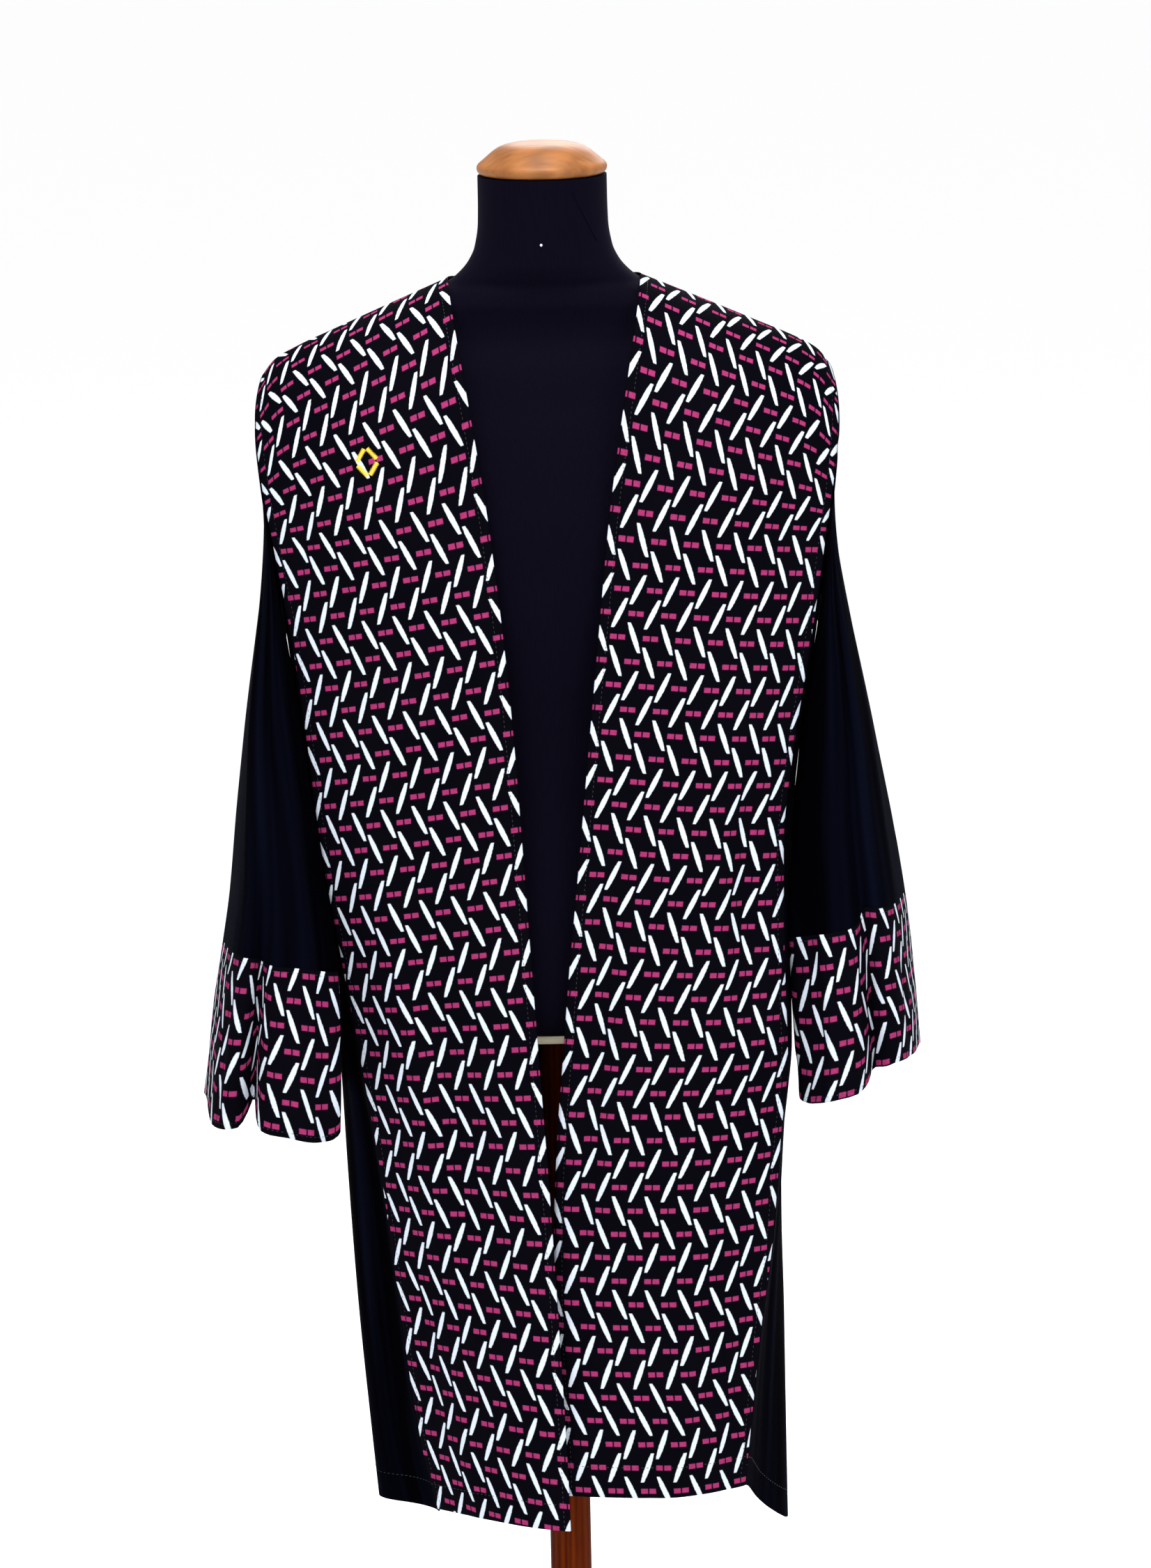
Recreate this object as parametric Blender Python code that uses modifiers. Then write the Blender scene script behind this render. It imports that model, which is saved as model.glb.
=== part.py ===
"""Graduation gown on a limbless dress form, modelled at its real size.

World: metres, +Z up, the front faces -Y, the origin is the centre of the foot's underside.
Left and right are the wearer's, so the right half of the gown is at -X.
Tables and named sizes are in millimetres and are scaled once, where a mesh is made.
"""

import math

import bmesh
import bpy
import numpy as np

MM = 0.001
SIDE_SIGN = {"right": -1.0, "left": 1.0}

# Driving sizes of the cloth
CLOTH = 2.0
SEAM = 0.35
LEVEL_CHEST = 1250.0
LEVEL_UNDERARM = 1185.0
LEVEL_SLEEVE = 1060.0

# Driving sizes of the form and its stand
NECK_RADIUS = 59.5
NECK_TOP = 1583.5
BASE_TOP = 797.0
BASE_THICKNESS = 7.0
BASE_OVERHANG = 2.0
POLE_RADIUS = 19.0
FOOT_RADIUS = 170.0
FOOT_HEIGHT = 28.0
TOUCH = 0.3

# How finely the walls are divided
PANEL_COLUMNS = 9
SIDE_COLUMNS = 4
NECK_COLUMNS = 4
LEVELS = [400, 460, 520, 580, 640, 700, 760, 820, 880, 950, 1020, 1090, 1130]
ARMHOLE_LEVELS = [1160, 1190, 1220]
SHOULDER_STEPS = [0.16, 0.31, 0.45, 0.58, 0.70, 0.80, 0.89, 0.955, 1.0]
SHOULDER_SEAM = 0.92
BEHIND_RIDGE_STEPS = [0.96, SHOULDER_SEAM]
SLEEVE_STEPS = [0.12, 0.28, 0.46, 0.64, 0.82, 1.0]
SLEEVE_LEVELS = [0.25, 0.5, 0.75, 1.0]
CUFF_STEPS = [0.25, 0.5, 0.75, 1.0]

# Plan of each half of the gown, a row for each height.
# The section runs from the front edge, over the seam of panel and side front,
# to the side seam. x is measured outward from the middle.
BODY_COLUMNS = ("z", "inner_x", "inner_y", "seam_x", "seam_y", "side_x", "side_y")
BODY = {
    "right": [
        (330, 0, -131, 120, -40, 176, 18),
        (405, 2, -131, 137, -41, 182, 14),
        (525, 7, -131, 153, -44, 191, 8),
        (652, 13, -131, 167, -50, 198, 5),
        (757, 19, -131, 182, -56, 203, 8),
        (862, 25, -131, 199, -62, 209, 12),
        (973, 31, -131, 216, -68, 223, 12),
        (1076, 37, -130, 227, -70, 234, 10),
        (1164, 44, -128, 238, -67, 244, 8),
        (1250, 53, -122, 253, -60, 256, 5),
    ],
    "left": [
        (330, -3, -126, 157, -104, 203, 10),
        (405, -4, -126, 166, -104, 203, 8),
        (515, -9, -126, 179, -104, 203, 8),
        (603, -8, -127, 192, -102, 202, 8),
        (698, -3, -128, 201, -100, 203, 12),
        (779, 4, -130, 209, -98, 213, 25),
        (874, 12, -131, 208, -96, 215, 25),
        (968, 22, -131, 209, -92, 218, 22),
        (1055, 31, -131, 219, -88, 227, 16),
        (1148, 41, -129, 236, -78, 242, 8),
        (1250, 52, -122, 253, -62, 256, 5),
    ],
}
BACK_COLUMNS = ("z", "back_y")
BACK = [
    (330, 116),
    (550, 118),
    (757, 121),
    (973, 123),
    (1130, 124),
    (1250, 121),
]

# Share of the back, from side seam to middle, taken by the armhole at the chest level,
# and share of the rest that lies under the shoulder
ARMHOLE_SHARE = 0.20
SHOULDER_SHARE = 0.60

# How the plan's curve leaves each corner, as (outward, backward) times the chord
FRONT_EDGE_AIM = (1.0, 0.02)
PANEL_SEAM_LEAN = (1.0, 1.35)
SIDE_FRONT_LEAN = (0.2, 1.0)
BACK_ROUNDNESS = 1.85

# Height of the hem at the front edge, the middle and seam of the panel, then of the black
# cloth at that seam, the side seam and the middle of the back
HEM = {
    "right": {
        "inner": 338, "middle": 342, "panel_seam": 342,
        "black_seam": 340, "side": 344, "back": 350,
    },
    "left": {
        "inner": 370, "middle": 368, "panel_seam": 372,
        "black_seam": 372, "side": 318, "back": 350,
    },
}

# Shoulder ridge from the neck point to the armhole
RIDGE_COLUMNS = ("along", "x", "z")
RIDGE = [
    (0.00, 89, 1489.0),
    (0.30, 142, 1466.5),
    (0.60, 194, 1444.0),
    (0.80, 229, 1428.5),
    (0.92, 249, 1417.0),
    (1.00, 261, 1402.0),
]
NECK_BACK_Y = 78.0
NECK_BACK_Z = 1476.0

# How the cloth leaves the ridge, by place along it: how steeply it falls,
# how far it stands away before it falls, and how far it leans outward
DRAPE_COLUMNS = ("along", "droop", "fullness", "lean")
DRAPE = [
    (0.00, 0.10, 1.30, 0.0),
    (0.35, 0.10, 1.30, 0.0),
    (0.60, 0.10, 1.14, 0.0),
    (0.82, 0.14, 0.95, 0.02),
    (0.90, 0.30, 0.89, 0.13),
    (0.96, 0.56, 0.86, 0.23),
    (1.00, 0.65, 0.85, 0.25),
]
NECK_DRAPE_COLUMNS = ("round_neck", "droop", "fullness")
NECK_DRAPE = [
    (0.0, 0.10, 1.30),
    (0.5, 0.475, 0.775),
    (1.0, 0.85, 0.25),
]

# The sleeve's top edge lies outside the armhole, further out below the underarm
SLEEVE_HEAD_OUT = 0.85
UNDERARM_OUT = 2.6
SLEEVE_HEAD_DROP = 1.2
SLEEVE_HEAD_SWELL = 0.17
UNDERARM_TOP = 1330.0
UNDERARM_FADE = 110.0
SLEEVE_FLARE = 0.10

# Long soft folds of the body: where they run across (0 front edge, 1 panel seam, 2 side seam,
# 3 middle back), how wide and deep they are, and the heights between which they show.
FOLD_COLUMNS = ("across", "width", "depth", "low", "high")
FOLDS = {
    "right": [
        (0.42, 0.16, -7, 520, 900),
        (0.70, 0.14, 6, 560, 1000),
        (1.45, 0.28, -9, 240, 760),
        (2.22, 0.13, 11, 200, 900),
        (2.45, 0.11, -12, 200, 820),
        (2.68, 0.12, 12, 200, 980),
        (2.90, 0.10, -9, 200, 760),
    ],
    "left": [
        (0.14, 0.10, -6, 500, 1080),
        (0.80, 0.12, -7, 780, 1060),
        (0.55, 0.16, 5, 200, 720),
        (1.50, 0.25, -8, 200, 700),
        (2.18, 0.12, -10, 200, 800),
        (2.40, 0.12, 12, 200, 980),
        (2.62, 0.11, -11, 200, 860),
        (2.84, 0.11, 10, 200, 940),
    ],
}

# Plan of each hanging sleeve, a row for each height. x is measured outward from the middle,
# and shear is how much further out its back lies than its front, for each millimetre of depth.
SLEEVE_COLUMNS = ("z", "outer_x", "inner_x", "front_y", "back_y", "shear")
SLEEVE = {
    "right": [
        (700, 334, 210, -99, 92, 0.10),
        (760, 325, 210, -98, 90, 0.10),
        (809, 319, 211, -96, 88, 0.11),
        (870, 308, 214, -93, 86, 0.12),
        (920, 300, 220, -90, 84, 0.12),
        (993, 293, 229, -85, 80, 0.10),
        (1060, 286, 237, -80, 76, 0.06),
    ],
    "left": [
        (720, 334, 216, -99, 92, 0.10),
        (779, 331, 222, -98, 90, 0.10),
        (832, 327, 223, -96, 88, 0.11),
        (892, 321, 222, -93, 86, 0.12),
        (968, 310, 224, -88, 82, 0.12),
        (1060, 295, 232, -82, 78, 0.08),
    ],
}
SLEEVE_SQUARENESS = 3.0

# Vertical folds of a sleeve: the angle from the outer side round by the front, in degrees
SLEEVE_FOLD_COLUMNS = ("angle", "width", "depth_at_hem", "depth_at_top")
SLEEVE_FOLDS = {
    "right": [
        (66, 12, -34, -4),
        (100, 15, 5, 1),
        (150, 17, -8, -1),
        (225, 18, -10, -1),
        (262, 14, 6, 1),
        (305, 15, -20, -4),
    ],
    "left": [
        (73, 11, -30, -6),
        (96, 12, 8, 3),
        (138, 15, -7, -1),
        (215, 16, -11, -2),
        (255, 15, 7, 1),
        (298, 15, -22, -4),
    ],
}

# Height of the cuff seam and depth of the cuff, by the same angle
CUFF_COLUMNS = ("angle", "seam", "depth")
CUFFS = {
    "right": [
        (0, 872, 142),
        (28, 872, 160),
        (54, 871, 158),
        (67, 867, 126),
        (82, 866, 153),
        (110, 862, 160),
        (150, 854, 152),
        (180, 852, 148),
        (270, 864, 156),
        (360, 872, 142),
    ],
    "left": [
        (0, 906, 142),
        (50, 906, 143),
        (66, 907, 149),
        (80, 893, 150),
        (92, 888, 154),
        (115, 884, 156),
        (132, 881, 153),
        (150, 880, 143),
        (180, 880, 146),
        (270, 894, 152),
        (360, 906, 142),
    ],
}

# Dress form: half width and half depth at each height
TORSO_COLUMNS = ("z", "half_width", "half_depth", "forward")
TORSO = [
    (797, 150, 100, 0),
    (812, 163, 108, 0),
    (850, 171, 113, 0),
    (900, 172, 114, 0),
    (960, 165, 110, 0),
    (1020, 158, 105, 0),
    (1080, 160, 104, 1),
    (1140, 172, 107, 3),
    (1200, 188, 110, 4),
    (1260, 204, 109, 4),
    (1310, 216, 102, 3),
    (1350, 224, 92, 2),
    (1385, 228, 80, 0),
    (1410, 227, 70, 0),
    (1423, 222, 62, 0),
    (1431, 214, 57, 0),
    (1439, 200, 54, 0),
    (1448.6, 178.5, 53, 0),
    (1458.6, 155.5, 54, 0),
    (1469, 131, 56, 0),
    (1479, 108.5, 54.5, 0),
    (1486, 90, 53, 0),
    (1494, 79, 57, 0),
    (1505, 69.5, 60, 0),
    (1518, 63.5, 60, 0),
    (1540, 60, 59.5, 0),
    (1565, 59.5, 59, 0),
    (NECK_TOP, NECK_RADIUS, NECK_RADIUS, 0),
]
TORSO_SIDES = 32

# Neck cap: radius at each height above its underside
CAP_PROFILE = [
    (0.0, 0.0),
    (51.0, 0.0),
    (57.5, 1.5),
    (60.0, 5.0),
    (60.0, 8.0),
    (56.5, 11.5),
    (50.5, 15.5),
    (45.5, 20.0),
    (42.0, 24.5),
    (37.5, 27.5),
    (31.0, 28.3),
    (0.0, 28.3),
]
FOOT_PROFILE = [
    (0.0, 0.0),
    (FOOT_RADIUS - 4.0, 0.0),
    (FOOT_RADIUS, 4.0),
    (FOOT_RADIUS, 14.0),
    (FOOT_RADIUS - 6.0, 20.0),
    (FOOT_RADIUS - 22.0, 25.0),
    (60.0, FOOT_HEIGHT),
    (0.0, FOOT_HEIGHT),
]
TURNED_STEPS = 32


def clear_scene():
    for obj in list(bpy.data.objects):
        bpy.data.objects.remove(obj, do_unlink=True)


def new_collection(name):
    collection = bpy.data.collections.new(name)
    bpy.context.scene.collection.children.link(collection)
    return collection


def new_material(name, colour, roughness, metallic=0.0):
    material = bpy.data.materials.new(name)
    material.use_nodes = True
    shader = material.node_tree.nodes["Principled BSDF"]
    shader.inputs["Base Color"].default_value = (*colour, 1.0)
    shader.inputs["Roughness"].default_value = roughness
    shader.inputs["Metallic"].default_value = metallic
    return material


def table_column(columns, rows, name):
    index = columns.index(name)
    return np.array([row[index] for row in rows], float)


def smooth_curve(stations, values, at):
    """A smooth curve through a table's values, which never overshoots them."""
    steps = np.diff(stations)
    slopes = np.diff(values) / steps
    tangents = np.concatenate([[slopes[0]], np.zeros(len(slopes) - 1), [slopes[-1]]])
    for i, (before, after) in enumerate(zip(slopes, slopes[1:]), start=1):
        if before * after > 0:
            tangents[i] = 2 * before * after / (before + after)
    at = np.clip(at, stations[0], stations[-1])
    i = int(np.clip(np.searchsorted(stations, at, side="right") - 1, 0, len(steps) - 1))
    t = (at - stations[i]) / steps[i]
    start, end = tangents[i : i + 2] * steps[i]
    return hermite(values[i], values[i + 1], start, end, t)


def hermite(start, end, start_tangent, end_tangent, t):
    return (
        (2 * t**3 - 3 * t**2 + 1) * start
        + (t**3 - 2 * t**2 + t) * start_tangent
        + (3 * t**2 - 2 * t**3) * end
        + (t**3 - t**2) * end_tangent
    )


def smooth_step(t):
    t = min(max(t, 0.0), 1.0)
    return t * t * (3 - 2 * t)


def unit(vector):
    return vector / max(np.linalg.norm(vector), 1e-9)


class Table:
    """Named columns of a short table, each read as a smooth curve of the first one."""

    def __init__(self, columns, rows):
        self.stations = table_column(columns, rows, columns[0])
        self.values = {name: table_column(columns, rows, name) for name in columns[1:]}

    def at(self, station, name):
        return float(smooth_curve(self.stations, self.values[name], station))


BODY_TABLES = {side: Table(BODY_COLUMNS, rows) for side, rows in BODY.items()}
BACK_TABLE = Table(BACK_COLUMNS, BACK)
RIDGE_TABLE = Table(RIDGE_COLUMNS, RIDGE)
DRAPE_TABLE = Table(DRAPE_COLUMNS, DRAPE)
NECK_DRAPE_TABLE = Table(NECK_DRAPE_COLUMNS, NECK_DRAPE)
SLEEVE_TABLES = {side: Table(SLEEVE_COLUMNS, rows) for side, rows in SLEEVE.items()}
CUFF_TABLES = {side: Table(CUFF_COLUMNS, rows) for side, rows in CUFFS.items()}


def section_point(side, across, z):
    """Plan of the gown at one height: across is 0 at the front edge, 1 at the panel's seam,
    2 at the side seam and 3 at the middle of the back. x is outward from the middle."""
    table = BODY_TABLES[side]
    inner = np.array([table.at(z, "inner_x"), table.at(z, "inner_y")])
    seam = np.array([table.at(z, "seam_x"), table.at(z, "seam_y")])
    flank = np.array([table.at(z, "side_x"), table.at(z, "side_y")])
    back = np.array([0.0, BACK_TABLE.at(z, "back_y")])
    at_seam = unit(flank - inner) * PANEL_SEAM_LEAN
    if across <= 1:
        reach = np.linalg.norm(seam - inner)
        return hermite(inner, seam, np.array(FRONT_EDGE_AIM) * reach, at_seam * reach, across)
    if across <= 2:
        reach = np.linalg.norm(flank - seam)
        turned = at_seam * SIDE_FRONT_LEAN
        return hermite(seam, flank, turned * reach, np.array([0.0, reach]), across - 1)
    at_flank = np.array([0.0, back[1] - flank[1]]) * BACK_ROUNDNESS
    at_back = np.array([-flank[0], 0.0]) * BACK_ROUNDNESS
    return hermite(flank, back, at_flank, at_back, across - 2)


def fold_height(side, across, z):
    """How far the folds push the cloth outward here."""
    total = 0.0
    for row in FOLDS[side]:
        fold = dict(zip(FOLD_COLUMNS, row))
        aside = (across - fold["across"]) / fold["width"]
        if abs(aside) > 3:
            continue
        middle = (fold["low"] + fold["high"]) / 2
        half = (fold["high"] - fold["low"]) / 2
        along = max(0.0, 1 - ((z - middle) / half) ** 2)
        total += fold["depth"] * math.exp(-aside * aside) * along
    return total


def body_point(side, across, z):
    """A point of the gown's wall below the chest, in world millimetres."""
    here = section_point(side, across, z)
    before = section_point(side, max(across - 0.01, 0), z)
    after = section_point(side, min(across + 0.01, 3), z)
    along = unit(after - before)
    outward = np.array([along[1], -along[0]])
    here = here + outward * fold_height(side, across, z)
    return np.array([here[0] * SIDE_SIGN[side], here[1], z])


def ridge_point(side, along):
    outward = RIDGE_TABLE.at(along, "x")
    return np.array([outward * SIDE_SIGN[side], 0.0, RIDGE_TABLE.at(along, "z")])


def below_chest(side, across):
    """Which way the wall runs downward at the chest, for a smooth join with what is below."""
    step = 12.0
    lower = body_point(side, across, LEVEL_CHEST - step)
    return (lower - body_point(side, across, LEVEL_CHEST)) / step


def over_shoulder(side, along, across, facing, steps):
    """Points from the chest level up to the shoulder ridge; facing is -1 in front, 1 behind."""
    top = ridge_point(side, along)
    foot = body_point(side, across, LEVEL_CHEST)
    reach = np.linalg.norm(top - foot)
    droop, fullness, lean = (
        DRAPE_TABLE.at(along, name) for name in ("droop", "fullness", "lean")
    )
    away = np.array([lean * SIDE_SIGN[side], facing * fullness, -droop])
    down = below_chest(side, across)
    return [hermite(top, foot, away * reach, down * reach, 1 - t) for t in steps]


def hem_height(side, across, black):
    hem = HEM[side]
    if across <= 1 and not black:
        straight = hem["inner"] + (hem["panel_seam"] - hem["inner"]) * across
        rise = hem["middle"] - (hem["inner"] + hem["panel_seam"]) / 2
        return straight + rise * math.sin(math.pi * across)
    if across <= 2:
        return hem["black_seam"] + (hem["side"] - hem["black_seam"]) * smooth_step(across - 1)
    return hem["side"] + (hem["back"] - hem["side"]) * smooth_step((across - 2) * 1.4)


def armhole_height(across):
    """Top of the side front: it falls from the panel's seam to the underarm."""
    fall = math.sin(math.pi / 2 * (across - 1))
    return LEVEL_CHEST - (LEVEL_CHEST - LEVEL_UNDERARM) * fall


def panel_grid(side):
    """Rows from the hem to the shoulder seam, columns from the front edge to the seam."""
    columns = []
    for i in range(PANEL_COLUMNS + 1):
        share = i / PANEL_COLUMNS
        levels = [hem_height(side, share, False)] + LEVELS + ARMHOLE_LEVELS + [LEVEL_CHEST]
        column = [body_point(side, share, z) for z in levels]
        column += over_shoulder(side, share, share, -1.0, SHOULDER_STEPS)
        column += over_shoulder(side, share, back_share(share), 1.0, BEHIND_RIDGE_STEPS)
        columns.append(column)
    return np.array(columns).transpose(1, 0, 2)


def side_front_grid(side):
    columns = []
    for i in range(SIDE_COLUMNS + 1):
        across = 1 + i / SIDE_COLUMNS
        top = armhole_height(across)
        last = LEVELS[-1]
        rising = [(z - last) / (LEVEL_CHEST - last) for z in ARMHOLE_LEVELS + [LEVEL_CHEST]]
        levels = [hem_height(side, across, True)] + LEVELS
        levels += [last + (top - last) * t for t in rising]
        columns.append([body_point(side, across, z) for z in levels])
    return np.array(columns).transpose(1, 0, 2)


def back_share(along):
    """Where a shoulder point's line down the back crosses the chest level, from 2 to 3."""
    return 2 + ARMHOLE_SHARE + (1 - ARMHOLE_SHARE) * SHOULDER_SHARE * (1 - along)


def half_back_columns(side):
    """Columns of half the back, from the side seam and armhole to the middle."""
    rising = [
        (1157.5, 2.0),
        (LEVEL_UNDERARM, 2.0),
        (1218, 2 + ARMHOLE_SHARE * 0.6),
        (LEVEL_CHEST, 2 + ARMHOLE_SHARE),
    ]
    count = PANEL_COLUMNS + NECK_COLUMNS
    columns = []
    for i in range(count + 1):
        if i <= PANEL_COLUMNS:
            share = SHOULDER_SHARE * i / PANEL_COLUMNS
        else:
            share = SHOULDER_SHARE + (1 - SHOULDER_SHARE) * (i - PANEL_COLUMNS) / NECK_COLUMNS
        column = [body_point(side, 2 + share, hem_height(side, 2 + share, True))]
        column += [body_point(side, 2 + share, z) for z in LEVELS]
        column += [body_point(side, first + (3 - first) * share, z) for z, first in rising]
        across = rising[-1][1] + (3 - rising[-1][1]) * share
        if i <= PANEL_COLUMNS:
            steps = [t * SHOULDER_SEAM for t in SHOULDER_STEPS]
            column += over_shoulder(side, 1 - i / PANEL_COLUMNS, across, 1.0, steps)
        else:
            column += up_to_neck(side, (i - PANEL_COLUMNS) / NECK_COLUMNS, across)
        columns.append(column)
    return columns


def up_to_neck(side, round_neck, across):
    """Points from the chest level up to the back neck, which curves round the form's neck."""
    angle = round_neck * math.pi / 2
    start = ridge_point(side, 0.0)
    top = np.array([
        start[0] * math.cos(angle),
        NECK_BACK_Y * math.sin(angle),
        start[2] + (NECK_BACK_Z - start[2]) * math.sin(angle) ** 2,
    ])
    foot = body_point(side, across, LEVEL_CHEST)
    reach = np.linalg.norm(top - foot)
    droop, fullness = (NECK_DRAPE_TABLE.at(round_neck, name) for name in ("droop", "fullness"))
    away = np.array([0.0, fullness, -droop])
    down = below_chest(side, across)
    return [hermite(top, foot, away * reach, down * reach, 1 - t) for t in SHOULDER_STEPS]


def back_grid():
    right = half_back_columns("right")
    left = half_back_columns("left")
    middle = [(a + b) / 2 for a, b in zip(right[-1], left[-1])]
    return np.array(right[:-1] + [middle] + left[-2::-1]).transpose(1, 0, 2)


def armhole_loop(side, panel, side_front, back):
    """The armhole's points in order: ridge, down the front, underarm, up the back."""
    ridge_row = len(panel) - 1 - len(BEHIND_RIDGE_STEPS)
    chest_row = ridge_row - len(SHOULDER_STEPS)
    front = panel[ridge_row : chest_row - 1 : -1, -1]
    under = side_front[-1, 1:]
    edge = back[:, 0] if side == "right" else back[:, -1]
    behind = edge[-len(SHOULDER_STEPS) - 2 :]
    over = panel[-2:ridge_row:-1, -1]
    return np.concatenate([front, under, behind, over])


def sleeve_point(side, angle, z):
    """A point of the hanging sleeve: angle 0 is its outer side, a quarter turn its front."""
    table = SLEEVE_TABLES[side]
    outer, inner = table.at(z, "outer_x"), table.at(z, "inner_x")
    front, back = table.at(z, "front_y"), table.at(z, "back_y")
    middle = np.array([(outer + inner) / 2, (front + back) / 2])
    half = np.array([(outer - inner) / 2, (back - front) / 2])
    power = 2 / SLEEVE_SQUARENESS
    cosine, sine = math.cos(angle), math.sin(angle)
    rim = np.array([
        math.copysign(abs(cosine) ** power, cosine) * half[0],
        -math.copysign(abs(sine) ** power, sine) * half[1],
    ])
    stations = SLEEVE_TABLES[side].stations
    lowness = 1 - (z - stations[0]) / (stations[-1] - stations[0])
    push = 0.0
    for row in SLEEVE_FOLDS[side]:
        fold = dict(zip(SLEEVE_FOLD_COLUMNS, row))
        aside = (math.degrees(angle) - fold["angle"] + 180) % 360 - 180
        growth = fold["depth_at_hem"] - fold["depth_at_top"]
        depth = fold["depth_at_top"] + growth * smooth_step(lowness)
        push += depth * math.exp(-((aside / fold["width"]) ** 2))
    here = middle + rim + unit(rim) * push
    here[0] += table.at(z, "shear") * here[1]
    return np.array([here[0] * SIDE_SIGN[side], here[1], z])


def loop_angles(loop):
    """An angle for each point of the armhole, by its share of the way round."""
    steps = np.linalg.norm(np.roll(loop, -1, axis=0) - loop, axis=1)
    way = np.concatenate([[0.0], np.cumsum(steps)[:-1]])
    return way / steps.sum() * 2 * math.pi


def sleeve_grids(side, loop):
    """Rows of the sleeve from the armhole down, then rows of its cuff; both are closed rings."""
    outward = np.array([SIDE_SIGN[side], 0.0, 0.0])
    sleeve_columns, cuff_columns = [], []
    for start, angle in zip(loop, loop_angles(loop)):
        lowness = smooth_step((UNDERARM_TOP - start[2]) / UNDERARM_FADE)
        head = start + outward * (SLEEVE_HEAD_OUT + UNDERARM_OUT * lowness)
        head[2] -= SLEEVE_HEAD_DROP * (1 - lowness)
        knee = sleeve_point(side, angle, LEVEL_SLEEVE)
        reach = np.linalg.norm(knee - head)
        swell = -SLEEVE_HEAD_SWELL * (1 - lowness)
        away = outward * swell + np.array([0.0, -SLEEVE_FLARE * math.sin(angle), -1.0])
        step = 10.0
        down = (sleeve_point(side, angle, LEVEL_SLEEVE - step) - knee) / step
        column = [head]
        column += [hermite(head, knee, away * reach, down * reach, t) for t in SLEEVE_STEPS]
        seam = CUFF_TABLES[side].at(math.degrees(angle), "seam")
        depth = CUFF_TABLES[side].at(math.degrees(angle), "depth")
        fall = seam - LEVEL_SLEEVE
        column += [sleeve_point(side, angle, LEVEL_SLEEVE + fall * t) for t in SLEEVE_LEVELS]
        sleeve_columns.append(column)
        cuff = [sleeve_point(side, angle, seam)]
        cuff += [sleeve_point(side, angle, seam - depth * t) for t in CUFF_STEPS]
        cuff_columns.append(cuff)
    sleeve = np.array(sleeve_columns).transpose(1, 0, 2)
    return sleeve, np.array(cuff_columns).transpose(1, 0, 2)


def grid_normals(grid, closed, sign):
    if closed:
        across = np.roll(grid, -1, axis=1) - np.roll(grid, 1, axis=1)
    else:
        across = np.gradient(grid, axis=1)
    normals = np.cross(across, np.gradient(grid, axis=0)) * sign
    return normals / np.linalg.norm(normals, axis=2, keepdims=True)


def share_normals(pieces):
    """Where two open pieces meet, both get the same normal, so that their edges are parallel."""
    meeting = {}
    for piece in pieces:
        for row in range(piece["grid"].shape[0]):
            for column in range(piece["grid"].shape[1]):
                key = tuple(np.round(piece["grid"][row, column], 2))
                meeting.setdefault(key, []).append((piece, row, column))
    for places in meeting.values():
        if len(places) < 2:
            continue
        shared = unit(sum(piece["normals"][row, column] for piece, row, column in places))
        for piece, row, column in places:
            piece["normals"][row, column] = shared


def trim(grid, edges):
    """Draws the named edges back by half a seam's gap."""
    pulls = {
        "bottom": (np.s_[0, :], np.s_[1, :]),
        "top": (np.s_[-1, :], np.s_[-2, :]),
        "first": (np.s_[:, 0], np.s_[:, 1]),
        "last": (np.s_[:, -1], np.s_[:, -2]),
    }
    for edge in edges:
        border, inside = pulls[edge]
        inward = grid[inside] - grid[border]
        inward = inward / np.linalg.norm(inward, axis=1, keepdims=True)
        grid[border] = grid[border] + inward * SEAM / 2


def wall_object(name, grid, normals, closed, material, collection):
    """A closed wall of cloth, half its thickness to each side of the grid."""
    rows, columns = grid.shape[:2]
    outer = grid + normals * CLOTH / 2
    inner = grid - normals * CLOTH / 2
    mesh = bmesh.new()
    front, behind = (
        [[mesh.verts.new(point * MM) for point in row] for row in sheet]
        for sheet in (outer, inner)
    )
    spans = [(c, (c + 1) % columns) for c in range(columns if closed else columns - 1)]
    for sheet in (front, behind):
        for low, high in zip(sheet, sheet[1:]):
            for a, b in spans:
                mesh.faces.new((low[a], low[b], high[b], high[a]))
    for row in (0, rows - 1):
        for a, b in spans:
            mesh.faces.new((front[row][a], front[row][b], behind[row][b], behind[row][a]))
    for column in () if closed else (0, columns - 1):
        edge = [row[column] for row in front]
        back_edge = [row[column] for row in behind]
        for i in range(rows - 1):
            mesh.faces.new((edge[i], edge[i + 1], back_edge[i + 1], back_edge[i]))
    return mesh_object(name, mesh, material, collection)


def mesh_object(name, mesh, material, collection):
    bmesh.ops.recalc_face_normals(mesh, faces=mesh.faces)
    data = bpy.data.meshes.new(name)
    mesh.to_mesh(data)
    mesh.free()
    data.shade_smooth()
    data.set_sharp_from_angle(angle=math.radians(40))
    obj = bpy.data.objects.new(name, data)
    obj.data.materials.append(material)
    collection.objects.link(obj)
    return obj


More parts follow.
